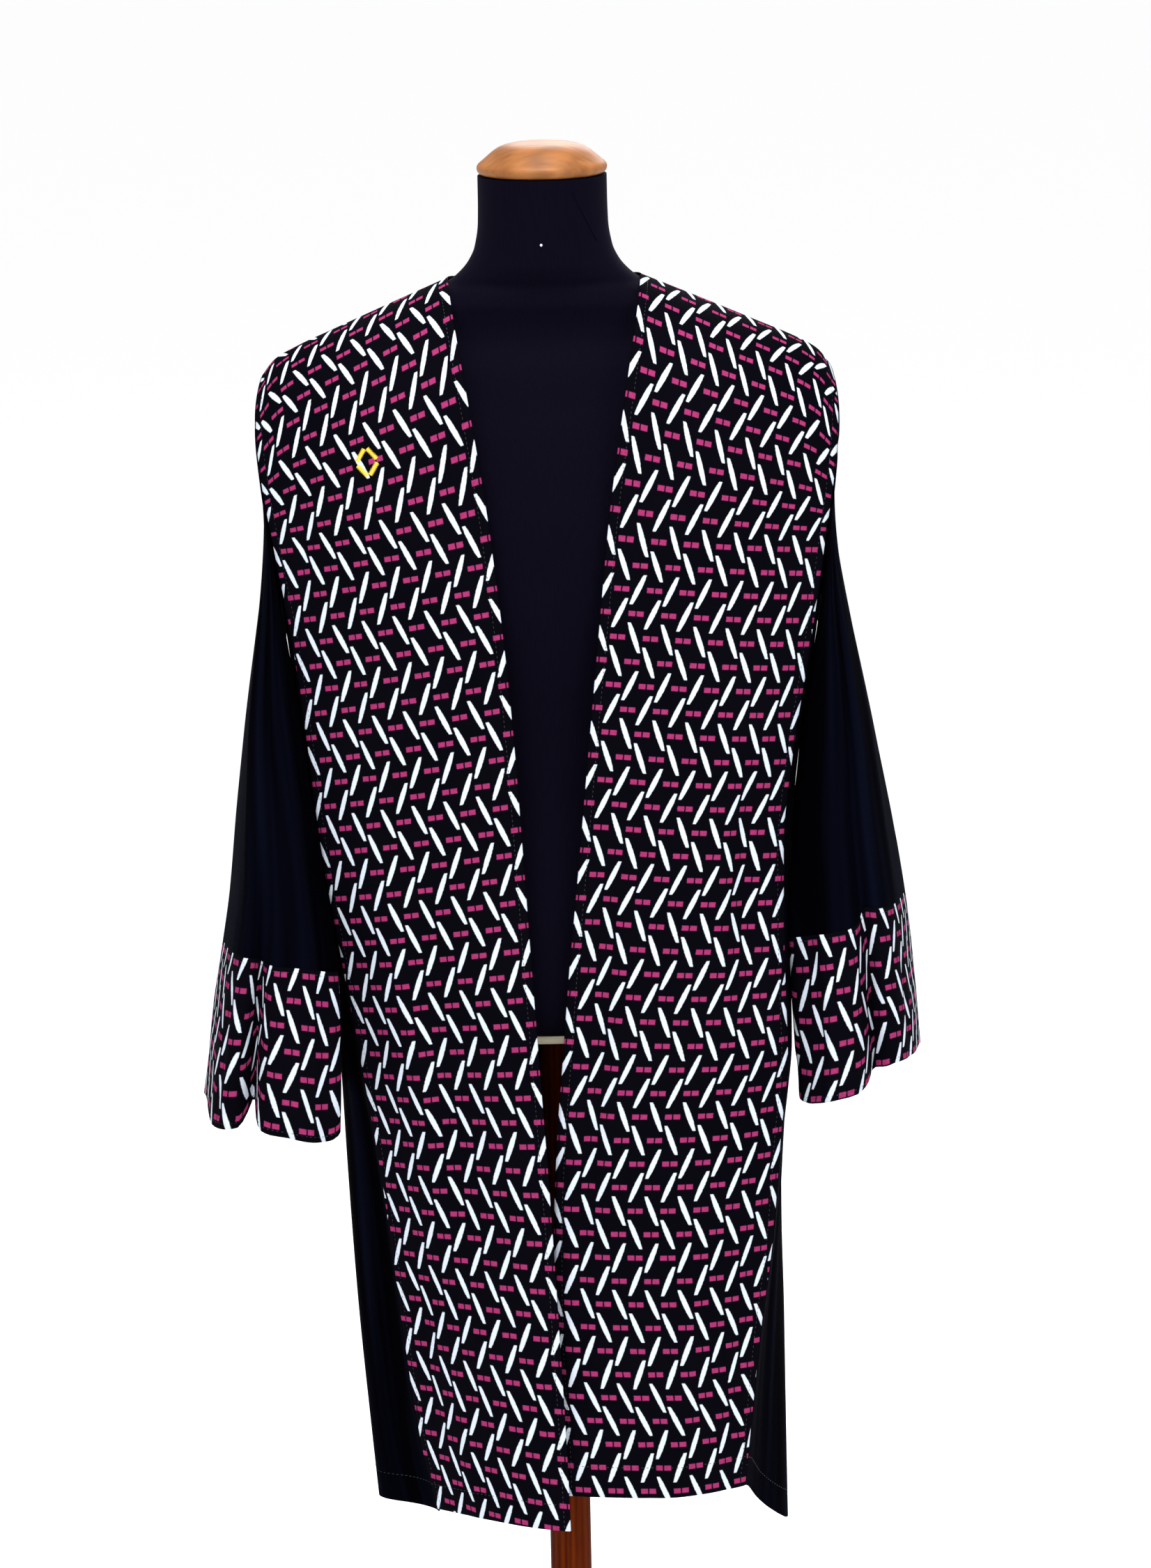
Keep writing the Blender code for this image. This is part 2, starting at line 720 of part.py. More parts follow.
def build_gown(collection):
    black = new_material("black_gown_cloth", (0.006, 0.006, 0.010), 0.85)
    patterned = new_material("patterned_gown_cloth", (0.12, 0.04, 0.07), 0.8)
    open_pieces = []
    panels = {side: panel_grid(side) for side in SIDE_SIGN}
    side_fronts = {side: side_front_grid(side) for side in SIDE_SIGN}
    back = back_grid()
    for side, sign in SIDE_SIGN.items():
        open_pieces.append({
            "name": f"panel_{side}", "grid": panels[side], "sign": sign,
            "edges": ("top", "last"), "material": patterned,
        })
        open_pieces.append({
            "name": f"side_front_{side}", "grid": side_fronts[side], "sign": sign,
            "edges": ("first", "last"), "material": black,
        })
    open_pieces.append({
        "name": "back", "grid": back, "sign": -1.0,
        "edges": ("top", "first", "last"), "material": black,
    })
    for piece in open_pieces:
        piece["normals"] = grid_normals(piece["grid"], False, piece["sign"])
    share_normals(open_pieces)
    loops = {side: armhole_loop(side, panels[side], side_fronts[side], back) for side in SIDE_SIGN}
    for piece in open_pieces:
        trim(piece["grid"], piece["edges"])
        wall_object(
            piece["name"], piece["grid"], piece["normals"], False, piece["material"], collection
        )
    for side, sign in SIDE_SIGN.items():
        sleeve, cuff = sleeve_grids(side, loops[side])
        joined = np.concatenate([sleeve, cuff[1:]])
        normals = grid_normals(joined, True, -sign)
        sleeve_rows = len(sleeve)
        trim(sleeve, ("top",))
        trim(cuff, ("bottom",))
        wall_object(f"sleeve_{side}", sleeve, normals[:sleeve_rows], True, black, collection)
        wall_object(f"cuff_{side}", cuff, normals[sleeve_rows - 1 :], True, patterned, collection)


def turned_object(name, profile, height, material, collection):
    """A turned piece: its profile, from the axis round to the axis, spun by a Screw modifier."""
    mesh = bmesh.new()
    points = [
        mesh.verts.new((radius * MM, 0.0, (height + rise) * MM))
        for radius, rise in reversed(profile)
    ]
    for first, second in zip(points, points[1:]):
        mesh.edges.new((first, second))
    data = bpy.data.meshes.new(name)
    mesh.to_mesh(data)
    mesh.free()
    obj = bpy.data.objects.new(name, data)
    obj.data.materials.append(material)
    collection.objects.link(obj)
    screw = obj.modifiers.new("turn", "SCREW")
    screw.steps = TURNED_STEPS
    screw.render_steps = TURNED_STEPS
    screw.use_merge_vertices = True
    screw.merge_threshold = 0.0001
    screw.use_smooth_shade = True
    return obj


def build_torso(collection):
    """The torso and neck as one smooth closed body, lofted through its sections."""
    jersey = new_material("form_jersey", (0.010, 0.008, 0.022), 0.9)
    mesh = bmesh.new()
    rings = []
    for row in TORSO:
        level = dict(zip(TORSO_COLUMNS, row))
        ring = []
        for i in range(TORSO_SIDES):
            angle = 2 * math.pi * i / TORSO_SIDES
            x = level["half_width"] * math.cos(angle)
            y = level["half_depth"] * math.sin(angle) - level["forward"]
            ring.append(mesh.verts.new((x * MM, y * MM, level["z"] * MM)))
        rings.append(ring)
    for lower, upper in zip(rings, rings[1:]):
        for i in range(TORSO_SIDES):
            j = (i + 1) % TORSO_SIDES
            mesh.faces.new((lower[i], lower[j], upper[j], upper[i]))
    mesh.faces.new(rings[0])
    mesh.faces.new(rings[-1])
    return mesh_object("form_torso", mesh, jersey, collection)


def build_stand(collection):
    wood = new_material("turned_wood", (0.55, 0.24, 0.07), 0.35)
    brown = new_material("stained_wood", (0.16, 0.04, 0.01), 0.4)
    board = new_material("pale_board", (0.42, 0.40, 0.30), 0.8)
    turned_object("neck_cap", CAP_PROFILE, NECK_TOP + TOUCH, wood, collection)
    turned_object("foot", FOOT_PROFILE, 0.0, brown, collection)
    base_bottom = BASE_TOP - TOUCH - BASE_THICKNESS
    outline = bmesh.new()
    bmesh.ops.create_cone(
        outline, cap_ends=True, segments=TORSO_SIDES, radius1=1.0, radius2=1.0,
        depth=BASE_THICKNESS * MM,
    )
    lowest = dict(zip(TORSO_COLUMNS, TORSO[0]))
    for vertex in outline.verts:
        vertex.co.x *= (lowest["half_width"] + BASE_OVERHANG) * MM
        vertex.co.y *= (lowest["half_depth"] + BASE_OVERHANG) * MM
        vertex.co.z += (base_bottom + BASE_THICKNESS / 2) * MM
    mesh_object("torso_base", outline, board, collection)
    pole_bottom = FOOT_HEIGHT + TOUCH
    pole_top = base_bottom - TOUCH
    pole = bmesh.new()
    bmesh.ops.create_cone(
        pole, cap_ends=True, segments=TURNED_STEPS, radius1=POLE_RADIUS * MM,
        radius2=POLE_RADIUS * MM, depth=(pole_top - pole_bottom) * MM,
    )
    for vertex in pole.verts:
        vertex.co.z += (pole_bottom + pole_top) / 2 * MM
    mesh_object("pole", pole, brown, collection)


def main():
    clear_scene()
    collection = new_collection("graduation_gown")
    build_gown(collection)
    build_torso(collection)
    build_stand(collection)


main()
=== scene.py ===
# %% [markdown]
# # A graduation gown on a dress form
#
# A graduation gown is a loose robe of nine cut pieces: two patterned front panels, two plain
# side fronts, a back, two bell sleeves and two deep patterned cuffs. Here it hangs open on a
# padded form without limbs, on a wooden pole. Each piece is built again as a fine shell on the
# shape of its solid, with its smaller creases, weave, print and stitches.
#
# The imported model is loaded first. Each of its nodes stays for collision, and each piece
# below takes the place of the node it is named for.

import math

import bmesh
import bpy
import numpy as np
from mathutils import Matrix


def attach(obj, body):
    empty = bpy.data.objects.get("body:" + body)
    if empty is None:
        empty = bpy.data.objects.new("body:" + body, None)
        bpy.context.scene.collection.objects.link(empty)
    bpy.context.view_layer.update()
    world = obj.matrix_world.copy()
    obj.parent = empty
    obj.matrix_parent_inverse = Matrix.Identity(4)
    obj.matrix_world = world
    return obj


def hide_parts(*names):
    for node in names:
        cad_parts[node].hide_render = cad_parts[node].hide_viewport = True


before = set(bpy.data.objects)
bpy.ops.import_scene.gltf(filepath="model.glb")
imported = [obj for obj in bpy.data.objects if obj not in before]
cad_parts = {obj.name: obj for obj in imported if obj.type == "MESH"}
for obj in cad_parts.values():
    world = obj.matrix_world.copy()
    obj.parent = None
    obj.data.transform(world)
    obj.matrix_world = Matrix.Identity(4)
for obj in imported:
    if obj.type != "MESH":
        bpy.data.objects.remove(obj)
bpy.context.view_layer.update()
MM = 0.001
SIDE_SIGN = {"right": -1.0, "left": 1.0}
print("nodes:", ", ".join(sorted(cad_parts)))

# %% [markdown]
# ## The cut of the gown
#
# A garment could be sculpted or simulated. This one is lofted from short tables of sizes in
# millimetres, because the photograph gives its outline and folds and a table can be matched
# to them. Each row is a height, and a smooth curve runs through each column.

# %% The plan of each half
BODY_COLUMNS = ("z", "inner_x", "inner_y", "seam_x", "seam_y", "side_x", "side_y")
BODY = {
    "right": [
        (330, 0, -131, 120, -40, 176, 18), (405, 2, -131, 137, -41, 182, 14),
        (525, 7, -131, 153, -44, 191, 8), (652, 13, -131, 167, -50, 198, 5),
        (757, 19, -131, 182, -56, 203, 8), (862, 25, -131, 199, -62, 209, 12),
        (973, 31, -131, 216, -68, 223, 12), (1076, 37, -130, 227, -70, 234, 10),
        (1164, 44, -128, 238, -67, 244, 8), (1250, 53, -122, 253, -60, 256, 5),
    ],
    "left": [
        (330, -3, -126, 157, -104, 203, 10), (405, -4, -126, 166, -104, 203, 8),
        (515, -9, -126, 179, -104, 203, 8), (603, -8, -127, 192, -102, 202, 8),
        (698, -3, -128, 201, -100, 203, 12), (779, 4, -130, 209, -98, 213, 25),
        (874, 12, -131, 208, -96, 215, 25), (968, 22, -131, 209, -92, 218, 22),
        (1055, 31, -131, 219, -88, 227, 16), (1148, 41, -129, 236, -78, 242, 8),
        (1250, 52, -122, 253, -62, 256, 5),
    ],
}
BACK_COLUMNS = ("z", "back_y")
BACK = [(330, 116), (550, 118), (757, 121), (973, 123), (1130, 124), (1250, 121)]
FRONT_EDGE_AIM = np.array([1.0, 0.02])
PANEL_SEAM_LEAN = np.array([1.0, 1.35])
SIDE_FRONT_LEAN = np.array([0.2, 1.0])
BACK_ROUNDNESS = 1.85
LEVEL_CHEST = 1250.0
LEVEL_UNDERARM = 1185.0
LEVEL_ARMHOLE_CURVE = 1218.0
HEM = {
    "right": {
        "inner": 338, "middle": 342, "panel_seam": 342,
        "black_seam": 340, "side": 344, "back": 350,
    },
    "left": {
        "inner": 370, "middle": 368, "panel_seam": 372,
        "black_seam": 372, "side": 318, "back": 350,
    },
}
HEM_RISE_PACE = 1.4
RIDGE_COLUMNS = ("along", "x", "z")
RIDGE = [
    (0.00, 89, 1489.0), (0.30, 142, 1466.5), (0.60, 194, 1444.0), (0.80, 229, 1428.5),
    (0.92, 249, 1417.0), (1.00, 261, 1402.0),
]
DRAPE_COLUMNS = ("along", "droop", "fullness", "lean")
DRAPE = [
    (0.00, 0.10, 1.30, 0.0), (0.35, 0.10, 1.30, 0.0), (0.60, 0.10, 1.14, 0.0),
    (0.82, 0.14, 0.95, 0.02), (0.90, 0.30, 0.89, 0.13), (0.96, 0.56, 0.86, 0.23),
    (1.00, 0.65, 0.85, 0.25),
]
NECK_DRAPE_COLUMNS = ("round_neck", "droop", "fullness")
NECK_DRAPE = [(0.0, 0.10, 1.30), (0.5, 0.475, 0.775), (1.0, 0.85, 0.25)]
NECK_BACK_Y = 78.0
NECK_BACK_Z = 1476.0
SHOULDER_SEAM = 0.92
ARMHOLE_SHARE = 0.20
SHOULDER_SHARE = 0.60
print("gown:", len(BODY["right"]), "and", len(BODY["left"]), "heights in its plan")

# %% [markdown]
# ## Smooth curves through the sizes
#
# A straight line between two rows of a table would leave a kink in the cloth. A cubic with
# matched slopes leaves none, and it never swings past the sizes in the table.

# %% Curves
def hermite(start, end, start_aim, end_aim, t):
    return (
        (2 * t**3 - 3 * t**2 + 1) * start
        + (t**3 - 2 * t**2 + t) * start_aim
        + (3 * t**2 - 2 * t**3) * end
        + (t**3 - t**2) * end_aim
    )


def sizes_at(columns, rows, at):
    """Each named column of a table, read as a smooth curve of its first one."""
    values = np.array(rows, float)
    stations = values[:, 0]
    steps = np.diff(stations)
    i = np.clip(np.searchsorted(stations, at, side="right") - 1, 0, len(steps) - 1)
    t = (np.clip(at, stations[0], stations[-1]) - stations[i]) / steps[i]
    sizes = {}
    for name, column in zip(columns[1:], values.T[1:]):
        slopes = np.diff(column) / steps
        aims = np.concatenate([slopes[:1], np.zeros(len(slopes) - 1), slopes[-1:]])
        for j, (before, after) in enumerate(zip(slopes, slopes[1:]), start=1):
            if before * after > 0:
                aims[j] = 2 * before * after / (before + after)
        start_aim, end_aim = aims[i] * steps[i], aims[i + 1] * steps[i]
        sizes[name] = hermite(column[i], column[i + 1], start_aim, end_aim, t)
    return sizes


def named(columns, rows):
    """Each row of a table as its values by name."""
    return [dict(zip(columns, row)) for row in rows]


def smooth_step(t):
    t = np.clip(t, 0.0, 1.0)
    return t * t * (3 - 2 * t)


def length_of(vectors):
    return np.linalg.norm(vectors, axis=-1, keepdims=True)


def unit(vectors):
    return vectors / np.maximum(length_of(vectors), 1e-9)


def way_along(path):
    """How far each point of the path lies along it."""
    return np.concatenate([[0.0], np.cumsum(length_of(np.diff(path, axis=0))[:, 0])])


def points_at(distances, way, path):
    return np.stack([np.interp(distances, way, path[:, axis]) for axis in range(3)], -1)


at_seam = sizes_at(BODY_COLUMNS, BODY["right"], 800.0)["seam_x"]
print("at 0.80 m, the right panel's seam lies", float(at_seam.round(1)), "mm out")

# %% [markdown]
# ## The hang of the body
#
# Below the chest the cloth hangs straight down in long soft folds. Each fold is a smooth bump
# or trough across the cloth that fades out at both ends, as a fold does where the weight of
# the cloth takes it up. The place across runs from 0 at the front edge over 1 at the panel's
# seam and 2 at the side seam to 3 at the middle of the back.

# %% Long folds and the wall below the chest
FOLD_COLUMNS = ("across", "width", "depth", "low", "high")
FOLDS = {
    "right": [
        (0.42, 0.16, -7, 520, 900), (0.70, 0.14, 6, 560, 1000), (1.45, 0.28, -9, 240, 760),
        (2.22, 0.13, 11, 200, 900), (2.45, 0.11, -12, 200, 820), (2.68, 0.12, 12, 200, 980),
        (2.90, 0.10, -9, 200, 760),
    ],
    "left": [
        (0.14, 0.10, -6, 500, 1080), (0.80, 0.12, -7, 780, 1060), (0.55, 0.16, 5, 200, 720),
        (1.50, 0.25, -8, 200, 700), (2.18, 0.12, -10, 200, 800), (2.40, 0.12, 12, 200, 980),
        (2.62, 0.11, -11, 200, 860), (2.84, 0.11, 10, 200, 940),
    ],
}


def plan_point(side, across, z):
    """Plan of half the gown at these places across and heights; x is outward."""
    sizes = sizes_at(BODY_COLUMNS, BODY[side], z)
    inner = np.stack([sizes["inner_x"], sizes["inner_y"]], -1)
    seam = np.stack([sizes["seam_x"], sizes["seam_y"]], -1)
    flank = np.stack([sizes["side_x"], sizes["side_y"]], -1)
    back_y = sizes_at(BACK_COLUMNS, BACK, z)["back_y"]
    none = np.zeros_like(back_y)
    lean = unit(flank - inner) * PANEL_SEAM_LEAN
    to_seam, to_flank = length_of(seam - inner), length_of(flank - seam)
    t = across[..., None]
    front = hermite(inner, seam, FRONT_EDGE_AIM * to_seam, lean * to_seam, t)
    aim = np.array([0.0, 1.0]) * to_flank
    side_front = hermite(seam, flank, lean * SIDE_FRONT_LEAN * to_flank, aim, t - 1)
    at_flank = np.stack([none, back_y - flank[..., 1]], -1) * BACK_ROUNDNESS
    at_back = np.stack([-flank[..., 0], none], -1) * BACK_ROUNDNESS
    behind = hermite(flank, np.stack([none, back_y], -1), at_flank, at_back, t - 2)
    return np.where(t <= 1, front, np.where(t <= 2, side_front, behind))


def fold_height(side, across, z):
    total = np.zeros_like(z)
    for fold in named(FOLD_COLUMNS, FOLDS[side]):
        middle, half = (fold["low"] + fold["high"]) / 2, (fold["high"] - fold["low"]) / 2
        fade = np.maximum(0.0, 1 - ((z - middle) / half) ** 2)
        total += fold["depth"] * np.exp(-(((across - fold["across"]) / fold["width"]) ** 2)) * fade
    return total


def body_point(side, across, z):
    """Points of the gown below the chest, in world millimetres."""
    across, z = (np.array(values, float) for values in np.broadcast_arrays(across, z))
    here = plan_point(side, across, z)
    before = plan_point(side, np.maximum(across - 0.01, 0), z)
    after = plan_point(side, np.minimum(across + 0.01, 3), z)
    along = unit(after - before)
    outward = np.stack([along[..., 1], -along[..., 0]], -1)
    here = here + outward * fold_height(side, across, z)[..., None]
    return np.stack([here[..., 0] * SIDE_SIGN[side], here[..., 1], z], -1)


print("the left panel's seam is", body_point("left", 1.0, 700.0).round(), "mm at 0.70 m")

# %% [markdown]
# ## Over the shoulders
#
# Above the chest the cloth rises to a ridge that rests on the form's shoulders, and falls
# again behind it. A curve for each thread of the cloth leaves the ridge in the way that the
# table gives, and meets the hanging cloth without a kink.

# %% Shoulders and neck
def ridge_point(side, along):
    sizes = sizes_at(RIDGE_COLUMNS, RIDGE, along)
    return np.stack([sizes["x"] * SIDE_SIGN[side], np.zeros_like(sizes["x"]), sizes["z"]], -1)


def hang_from(top, away, side, across, steps):
    """Rows of points from the chest up to the top, which the cloth leaves the way of away."""
    step = 12.0
    foot = body_point(side, across, LEVEL_CHEST)
    down = (body_point(side, across, LEVEL_CHEST - step) - foot) / step
    reach = length_of(top - foot)
    t = 1 - np.asarray(steps, float)[:, None, None]
    return hermite(top, foot, away * reach, down * reach, t)


def over_shoulder(side, along, across, facing, steps):
    """Rows of points from the chest up to the ridge; facing is -1 in front and 1 behind."""
    drape = sizes_at(DRAPE_COLUMNS, DRAPE, along)
    away = np.stack([drape["lean"] * SIDE_SIGN[side], facing * drape["fullness"], -drape["droop"]], -1)
    return hang_from(ridge_point(side, along), away, side, across, steps)


def up_to_neck(side, round_neck, across, steps):
    """Rows of points from the chest up to the back neck."""
    angle = round_neck * math.pi / 2
    start = ridge_point(side, 0.0)
    rise = (NECK_BACK_Z - start[2]) * np.sin(angle) ** 2
    top = np.stack([start[0] * np.cos(angle), NECK_BACK_Y * np.sin(angle), start[2] + rise], -1)
    drape = sizes_at(NECK_DRAPE_COLUMNS, NECK_DRAPE, round_neck)
    away = np.stack([np.zeros_like(angle), drape["fullness"], -drape["droop"]], -1)
    return hang_from(top, away, side, across, steps)


def back_share(along):
    return 2 + ARMHOLE_SHARE + (1 - ARMHOLE_SHARE) * SHOULDER_SHARE * (1 - along)


def hem_height(side, across, black):
    hem = HEM[side]
    if black:
        at_side = hem["black_seam"] + (hem["side"] - hem["black_seam"]) * smooth_step(across - 1)
        behind = hem["side"] + (hem["back"] - hem["side"]) * smooth_step((across - 2) * HEM_RISE_PACE)
        return np.where(across <= 2, at_side, behind)
    straight = hem["inner"] + (hem["panel_seam"] - hem["inner"]) * across
    rise = hem["middle"] - (hem["inner"] + hem["panel_seam"]) / 2
    return straight + rise * np.sin(math.pi * across)


print("shoulder ridge, neck to armhole:", ridge_point("left", np.array([0.0, 1.0])).round().tolist())

# %% [markdown]
# ## Grids of points
#
# Each piece is a grid: rows run across the cloth and columns run along it. A fine grid takes
# the creases that the coarse solid leaves out.

# %% Grids of the body pieces
PANEL_FINE = {"columns": 60, "rows": 190, "shoulder": 62}
SIDE_FINE = {"columns": 38, "rows": 170}
BACK_FINE = {"shoulder": 48, "neck": 16, "rows": 165, "top": 52}


def panel_grid(side):
    share = np.linspace(0, 1, PANEL_FINE["columns"])
    hem = hem_height(side, share, False)
    up = np.linspace(0, 1, PANEL_FINE["rows"])[:, None]
    rows = [body_point(side, share[None], hem + (LEVEL_CHEST - hem) * up)]
    rows.append(over_shoulder(side, share, share, -1.0, np.linspace(0, 1, PANEL_FINE["shoulder"])[1:]))
    rows.append(over_shoulder(side, share, back_share(share), 1.0, [0.98, 0.96, 0.94, SHOULDER_SEAM]))
    return np.concatenate(rows)


def side_front_grid(side):
    across = np.linspace(1, 2, SIDE_FINE["columns"])
    hem = hem_height(side, across, True)
    top = LEVEL_CHEST - (LEVEL_CHEST - LEVEL_UNDERARM) * np.sin(math.pi / 2 * (across - 1))
    up = np.linspace(0, 1, SIDE_FINE["rows"])[:, None]
    return body_point(side, across[None], hem + (top - hem) * up)


def half_back_grid(side):
    under = np.linspace(0, SHOULDER_SHARE, BACK_FINE["shoulder"])
    beyond = np.linspace(SHOULDER_SHARE, 1, BACK_FINE["neck"] + 1)[1:]
    share = np.concatenate([under, beyond])
    hem = hem_height(side, 2 + share, True)
    z = hem + (LEVEL_CHEST - hem) * np.linspace(0, 1, BACK_FINE["rows"])[:, None]
    places = [2, 2 + ARMHOLE_SHARE * 0.6, 2 + ARMHOLE_SHARE]
    first = np.interp(z, [LEVEL_UNDERARM, LEVEL_ARMHOLE_CURVE, LEVEL_CHEST], places)
    low = body_point(side, first + (3 - first) * share, z)
    across = 2 + ARMHOLE_SHARE + (1 - ARMHOLE_SHARE) * share
    steps = np.linspace(0, 1, BACK_FINE["top"])[1:]
    at_shoulder = share <= SHOULDER_SHARE
    along = 1 - share[at_shoulder] / SHOULDER_SHARE
    shoulder = over_shoulder(side, along, across[at_shoulder], 1.0, steps * SHOULDER_SEAM)
    round_neck = (share[~at_shoulder] - SHOULDER_SHARE) / (1 - SHOULDER_SHARE)
    neck = up_to_neck(side, round_neck, across[~at_shoulder], steps)
    return np.concatenate([low, np.concatenate([shoulder, neck], axis=1)])


def back_grid():
    right, left = half_back_grid("right"), half_back_grid("left")
    middle = (right[:, -1:] + left[:, -1:]) / 2
    return np.concatenate([right[:, :-1], middle, left[:, -2::-1]], axis=1)


KINDS = ("panel", "side_front", "sleeve", "cuff")
NODES = [f"{kind}_{side}" for side in SIDE_SIGN for kind in KINDS] + ["back"]
grids = {"back": back_grid()}
for side in SIDE_SIGN:
    grids[f"panel_{side}"], grids[f"side_front_{side}"] = panel_grid(side), side_front_grid(side)
print("grids:", {node: grid.shape[:2] for node, grid in grids.items()})

# %% [markdown]
# ## Bell sleeves and cuffs
#
# A sleeve starts at the armhole and hangs down beside the body. Round it, the angle is 0 at
# its outer side, a quarter turn at its front and a half turn at the underarm, where its seam
# lies. Its folds deepen towards the hem, and the deep cuff continues them.

# %% Grids of the sleeves and cuffs
SLEEVE_COLUMNS = ("z", "outer_x", "inner_x", "front_y", "back_y", "shear")
SLEEVE_CORNERS = (("outer_x", "back_y"), ("inner_x", "front_y"))
SLEEVE = {
    "right": [
        (700, 334, 210, -99, 92, 0.10), (760, 325, 210, -98, 90, 0.10),
        (809, 319, 211, -96, 88, 0.11), (870, 308, 214, -93, 86, 0.12),
        (920, 300, 220, -90, 84, 0.12), (993, 293, 229, -85, 80, 0.10),
        (1060, 286, 237, -80, 76, 0.06),
    ],
    "left": [
        (720, 334, 216, -99, 92, 0.10), (779, 331, 222, -98, 90, 0.10),
        (832, 327, 223, -96, 88, 0.11), (892, 321, 222, -93, 86, 0.12),
        (968, 310, 224, -88, 82, 0.12), (1060, 295, 232, -82, 78, 0.08),
    ],
}
SLEEVE_SQUARENESS = 3.0
SLEEVE_FOLD_COLUMNS = ("angle", "width", "depth_at_hem", "depth_at_top")
SLEEVE_FOLDS = {
    "right": [
        (66, 12, -34, -4), (100, 15, 5, 1), (150, 17, -8, -1), (225, 18, -10, -1), (262, 14, 6, 1),
        (305, 15, -20, -4),
    ],
    "left": [
        (73, 11, -30, -6), (96, 12, 10, 4), (138, 15, -7, -1), (215, 16, -11, -2), (255, 15, 7, 1),
        (298, 15, -22, -4),
    ],
}
CUFF_COLUMNS = ("angle", "seam", "depth")
CUFFS = {
    "right": [
        (0, 872, 142), (28, 872, 160), (54, 871, 158), (67, 867, 126), (82, 866, 153),
        (110, 862, 160), (128, 858, 157), (150, 854, 132), (180, 852, 118), (270, 864, 156),
        (360, 872, 142),
    ],
    "left": [
        (0, 906, 142), (50, 906, 143), (66, 907, 149), (80, 893, 150), (92, 888, 154),
        (115, 884, 156), (132, 881, 153), (150, 880, 126), (180, 880, 112), (270, 894, 152),
        (360, 906, 142),
    ],
}
LEVEL_SLEEVE = 1060.0
SLEEVE_HEAD_OUT = 0.85
UNDERARM_OUT = 2.6
SLEEVE_HEAD_DROP = 1.2
SLEEVE_HEAD_SWELL = 0.17
SLEEVE_FLARE = 0.10
LEVEL_HEAD = 1330.0
HEAD_FADES_OVER = 110
SLEEVE_FINE = {"columns": 132, "head": 60, "below": 44, "cuff": 36}


def armhole_loop(side):
    """The armhole from the ridge down the front, under the arm and up the back, and round."""
    panel, under, back = grids[f"panel_{side}"], grids[f"side_front_{side}"][-1], grids["back"]
    ridge_row = len(panel) - 5
    chest_row = PANEL_FINE["rows"] - 1
    edge = back[:, 0] if side == "right" else back[:, -1]
    behind = edge[edge[:, 2] >= LEVEL_UNDERARM]
    front, shoulder = panel[ridge_row : chest_row - 1 : -1, -1], panel[-2 : ridge_row - 1 : -1, -1]
    return np.concatenate([front, under[1:], behind[1:], shoulder])


def even_loop(loop, columns):
    """The loop's points at even steps, from the underarm round by the back."""
    way = way_along(loop)
    share = (np.arange(columns) / columns + 0.5) % 1.0
    return points_at(share * way[-1], way, loop), share * 2 * math.pi


def sleeve_point(side, angle, z):
    angle, z = (np.array(values, float) for values in np.broadcast_arrays(angle, z))
    sizes = sizes_at(SLEEVE_COLUMNS, SLEEVE[side], z)
    outer, inner = (np.stack([sizes[x], sizes[y]], -1) for x, y in SLEEVE_CORNERS)
    middle, half = (outer + inner) / 2, (outer - inner) / 2
    turn = np.stack([np.cos(angle), -np.sin(angle)], -1)
    rim = np.sign(turn) * np.abs(turn) ** (2 / SLEEVE_SQUARENESS) * half
    low, high = SLEEVE[side][0][0], SLEEVE[side][-1][0]
    lowness = smooth_step(1 - (z - low) / (high - low))
    push = np.zeros_like(z)
    for fold in named(SLEEVE_FOLD_COLUMNS, SLEEVE_FOLDS[side]):
        aside = (np.degrees(angle) - fold["angle"] + 180) % 360 - 180
        depth = fold["depth_at_top"] + (fold["depth_at_hem"] - fold["depth_at_top"]) * lowness
        push += depth * np.exp(-((aside / fold["width"]) ** 2))
    here = middle + rim + unit(rim) * push[..., None]
    x = here[..., 0] + sizes["shear"] * here[..., 1]
    return np.stack([x * SIDE_SIGN[side], here[..., 1], z], -1)


def sleeve_grids(side):
    start, angle = even_loop(armhole_loop(side), SLEEVE_FINE["columns"])
    sign = SIDE_SIGN[side]
    lowness = smooth_step((LEVEL_HEAD - start[:, 2]) / HEAD_FADES_OVER)
    head = start.copy()
    head[:, 0] += sign * (SLEEVE_HEAD_OUT + UNDERARM_OUT * lowness)
    head[:, 2] -= SLEEVE_HEAD_DROP * (1 - lowness)
    knee = sleeve_point(side, angle, LEVEL_SLEEVE)
    reach = length_of(knee - head)
    swell = -SLEEVE_HEAD_SWELL * (1 - lowness) * sign
    away = np.stack([swell, -SLEEVE_FLARE * np.sin(angle), -np.ones_like(angle)], -1)
    step = 10.0
    down = (sleeve_point(side, angle, LEVEL_SLEEVE - step) - knee) / step
    t = np.linspace(0, 1, SLEEVE_FINE["head"])[:, None, None]
    upper = hermite(head, knee, away * reach, down * reach, t)
    cuff = sizes_at(CUFF_COLUMNS, CUFFS[side], np.degrees(angle))
    below = np.linspace(0, 1, SLEEVE_FINE["below"])[1:, None]
    lower = sleeve_point(side, angle[None], LEVEL_SLEEVE + (cuff["seam"] - LEVEL_SLEEVE) * below)
    depth = cuff["depth"] * np.linspace(0, 1, SLEEVE_FINE["cuff"])[:, None]
    return np.concatenate([upper, lower]), sleeve_point(side, angle[None], cuff["seam"] - depth)


for side in SIDE_SIGN:
    grids[f"sleeve_{side}"], grids[f"cuff_{side}"] = sleeve_grids(side)
print("sleeve and cuff grids:", grids["sleeve_right"].shape, grids["cuff_right"].shape)
